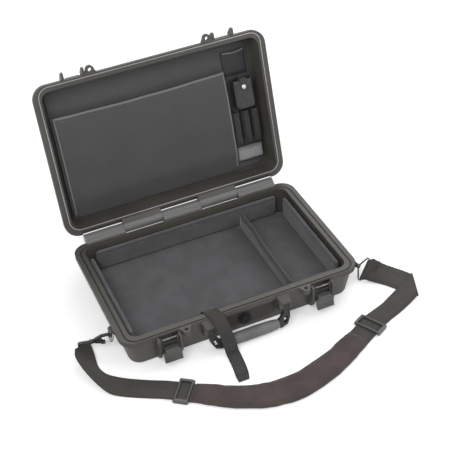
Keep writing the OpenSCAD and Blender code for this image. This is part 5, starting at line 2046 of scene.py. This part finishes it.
        edge: Points = []
        for sign in (1, -1):
            for m, s, h, t in sizes if sign > 0 else sizes[::-1]:
                outside = m + s * (sign * (h + 12)) + up * (t * 0.4)
                hit = tree.ray_cast(outside * MM, s * -sign)
                edge.append(hit[0] / MM if hit[0] is not None else m + s * (sign * h) + up * (t * 0.4))
        binding = Bench.sweep("pad_edge_binding", edge, up, 1.0, 1.6, 8, True)
        Bench.dress(binding, Looks.PAD_BINDING, "case", "pad")
        rows: list[bpy.types.Object] = []
        for sign in (1, -1):
            found = [on_top(m + s * sign * (h - 6.0)) for m, s, h, _ in sizes[1:-1]]
            path = [p for p in found if p is not None]
            rows.append(Bench.stitches("row", path, up, 3.0, 1.4, 0.34))
        for place in (1, len(sizes) - 3):
            m, s, h, _ = sizes[place]
            found = [on_top(m + s * (h - 6.0) * k / 8) for k in range(-8, 9)]
            path = [p for p in found if p is not None]
            rows.append(Bench.stitches("row", path, up, 3.0, 1.4, 0.34))
        Bench.dress(Bench.join("pad_border_stitches", rows), Looks.BLACK_THREAD, "case", "pad")

    def build(self) -> None:
        """Builds the straps and the pad."""
        self.webbing_left()
        self.webbing_right()
        self.pad()


@dataclass
class HoldDownStrap:
    """The strap that leaves the front liner, passes over the rim and the handle, and lies in front."""

    width: float = 26.0
    thickness: float = 1.7
    tape_from: float = 0.62
    caught: float = 0.92

    def build(self) -> None:
        """Builds the strap, its hook tape and its stitches, each with a mesh of its own."""
        line = [
            (-68, -130.1, 20), (-68, -130.1, 44), (-68, -130.2, 58), (-68, -134, 65), (-67, -141, 71),
            (-65, -150, 72.3), (-62, -159, 72), (-60, -166, 69.6), (-58, -174, 64.5), (-56, -182.5, 55),
            (-54, -190.5, 42), (-52, -195.5, 28), (-50, -198, 14), (-49, -201.5, 4.5), (-49, -211, 1.5),
            (-52, -240, 1.4), (-58, -275, 1.4),
        ]
        path = curve_through([Vector(p) for p in line], 4)
        shares = (-1, -0.92, -0.7, -0.35, 0, 0.35, 0.7, 0.92, 1)
        rows: list[Points] = []
        ups: Points = []
        for i, p in enumerate(path):
            run = (path[min(i + 1, len(path) - 1)] - path[max(i - 1, 0)]).normalized()
            up = Vector((1, 0, 0)).cross(run).normalized()
            ups.append(-up)
            half = self.width / 2
            if i >= len(path) - 2:
                half -= (i - len(path) + 3) * 1.3
            rows.append([p + Vector((s * half, 0, 0)) - up * 0.2 * (1 - s * s) for s in shares])
        made = Bench.cloth("hold_down_webbing", rows, self.thickness)
        Bench.dress(made, Looks.HOLD, "case", "webbing", ["hold_down_strap"])
        taped = list(zip(path, ups))[int(len(path) * self.tape_from):-2]
        tape_rows = [
            [p + up * (self.thickness / 2 + 0.3) + Vector((s * 10.5, 0, 0)) for s in (-1, -0.5, 0, 0.5, 1)]
            for p, up in taped
        ]
        tape = Bench.cloth("hold_down_hook_tape", tape_rows, 0.9)
        Bench.dress(tape, Looks.TAPE, "case", "webbing")
        sewn: list[bpy.types.Object] = []
        for s in (-1, 1):
            row = [p + up * (self.thickness / 2 + 0.8) + Vector((s * 9.3, 0, 0)) for p, up in taped]
            sewn.append(Bench.stitches("row", row, [up for _, up in taped], 2.2, 1.0, 0.28))
        rows_sewn = Bench.join("hold_down_stitches", sewn)
        Bench.dress(rows_sewn, Looks.BLACK_THREAD, "case", "webbing")
        for piece in (made, tape, rows_sewn):
            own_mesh(piece)


# ---------------------------------------------------------------------------- the scene


def main() -> None:
    """Builds the studio and every sub-assembly in order."""
    logging.basicConfig(level=logging.INFO, format="%(name)s %(message)s")
    for part in (Studio(), HardParts(), PaddedLiner(), LidOrganizer(), ShoulderStrap(), HoldDownStrap()):
        LOG.info("building %s", type(part).__name__)
        part.build()


if __name__ == "__main__":
    main()
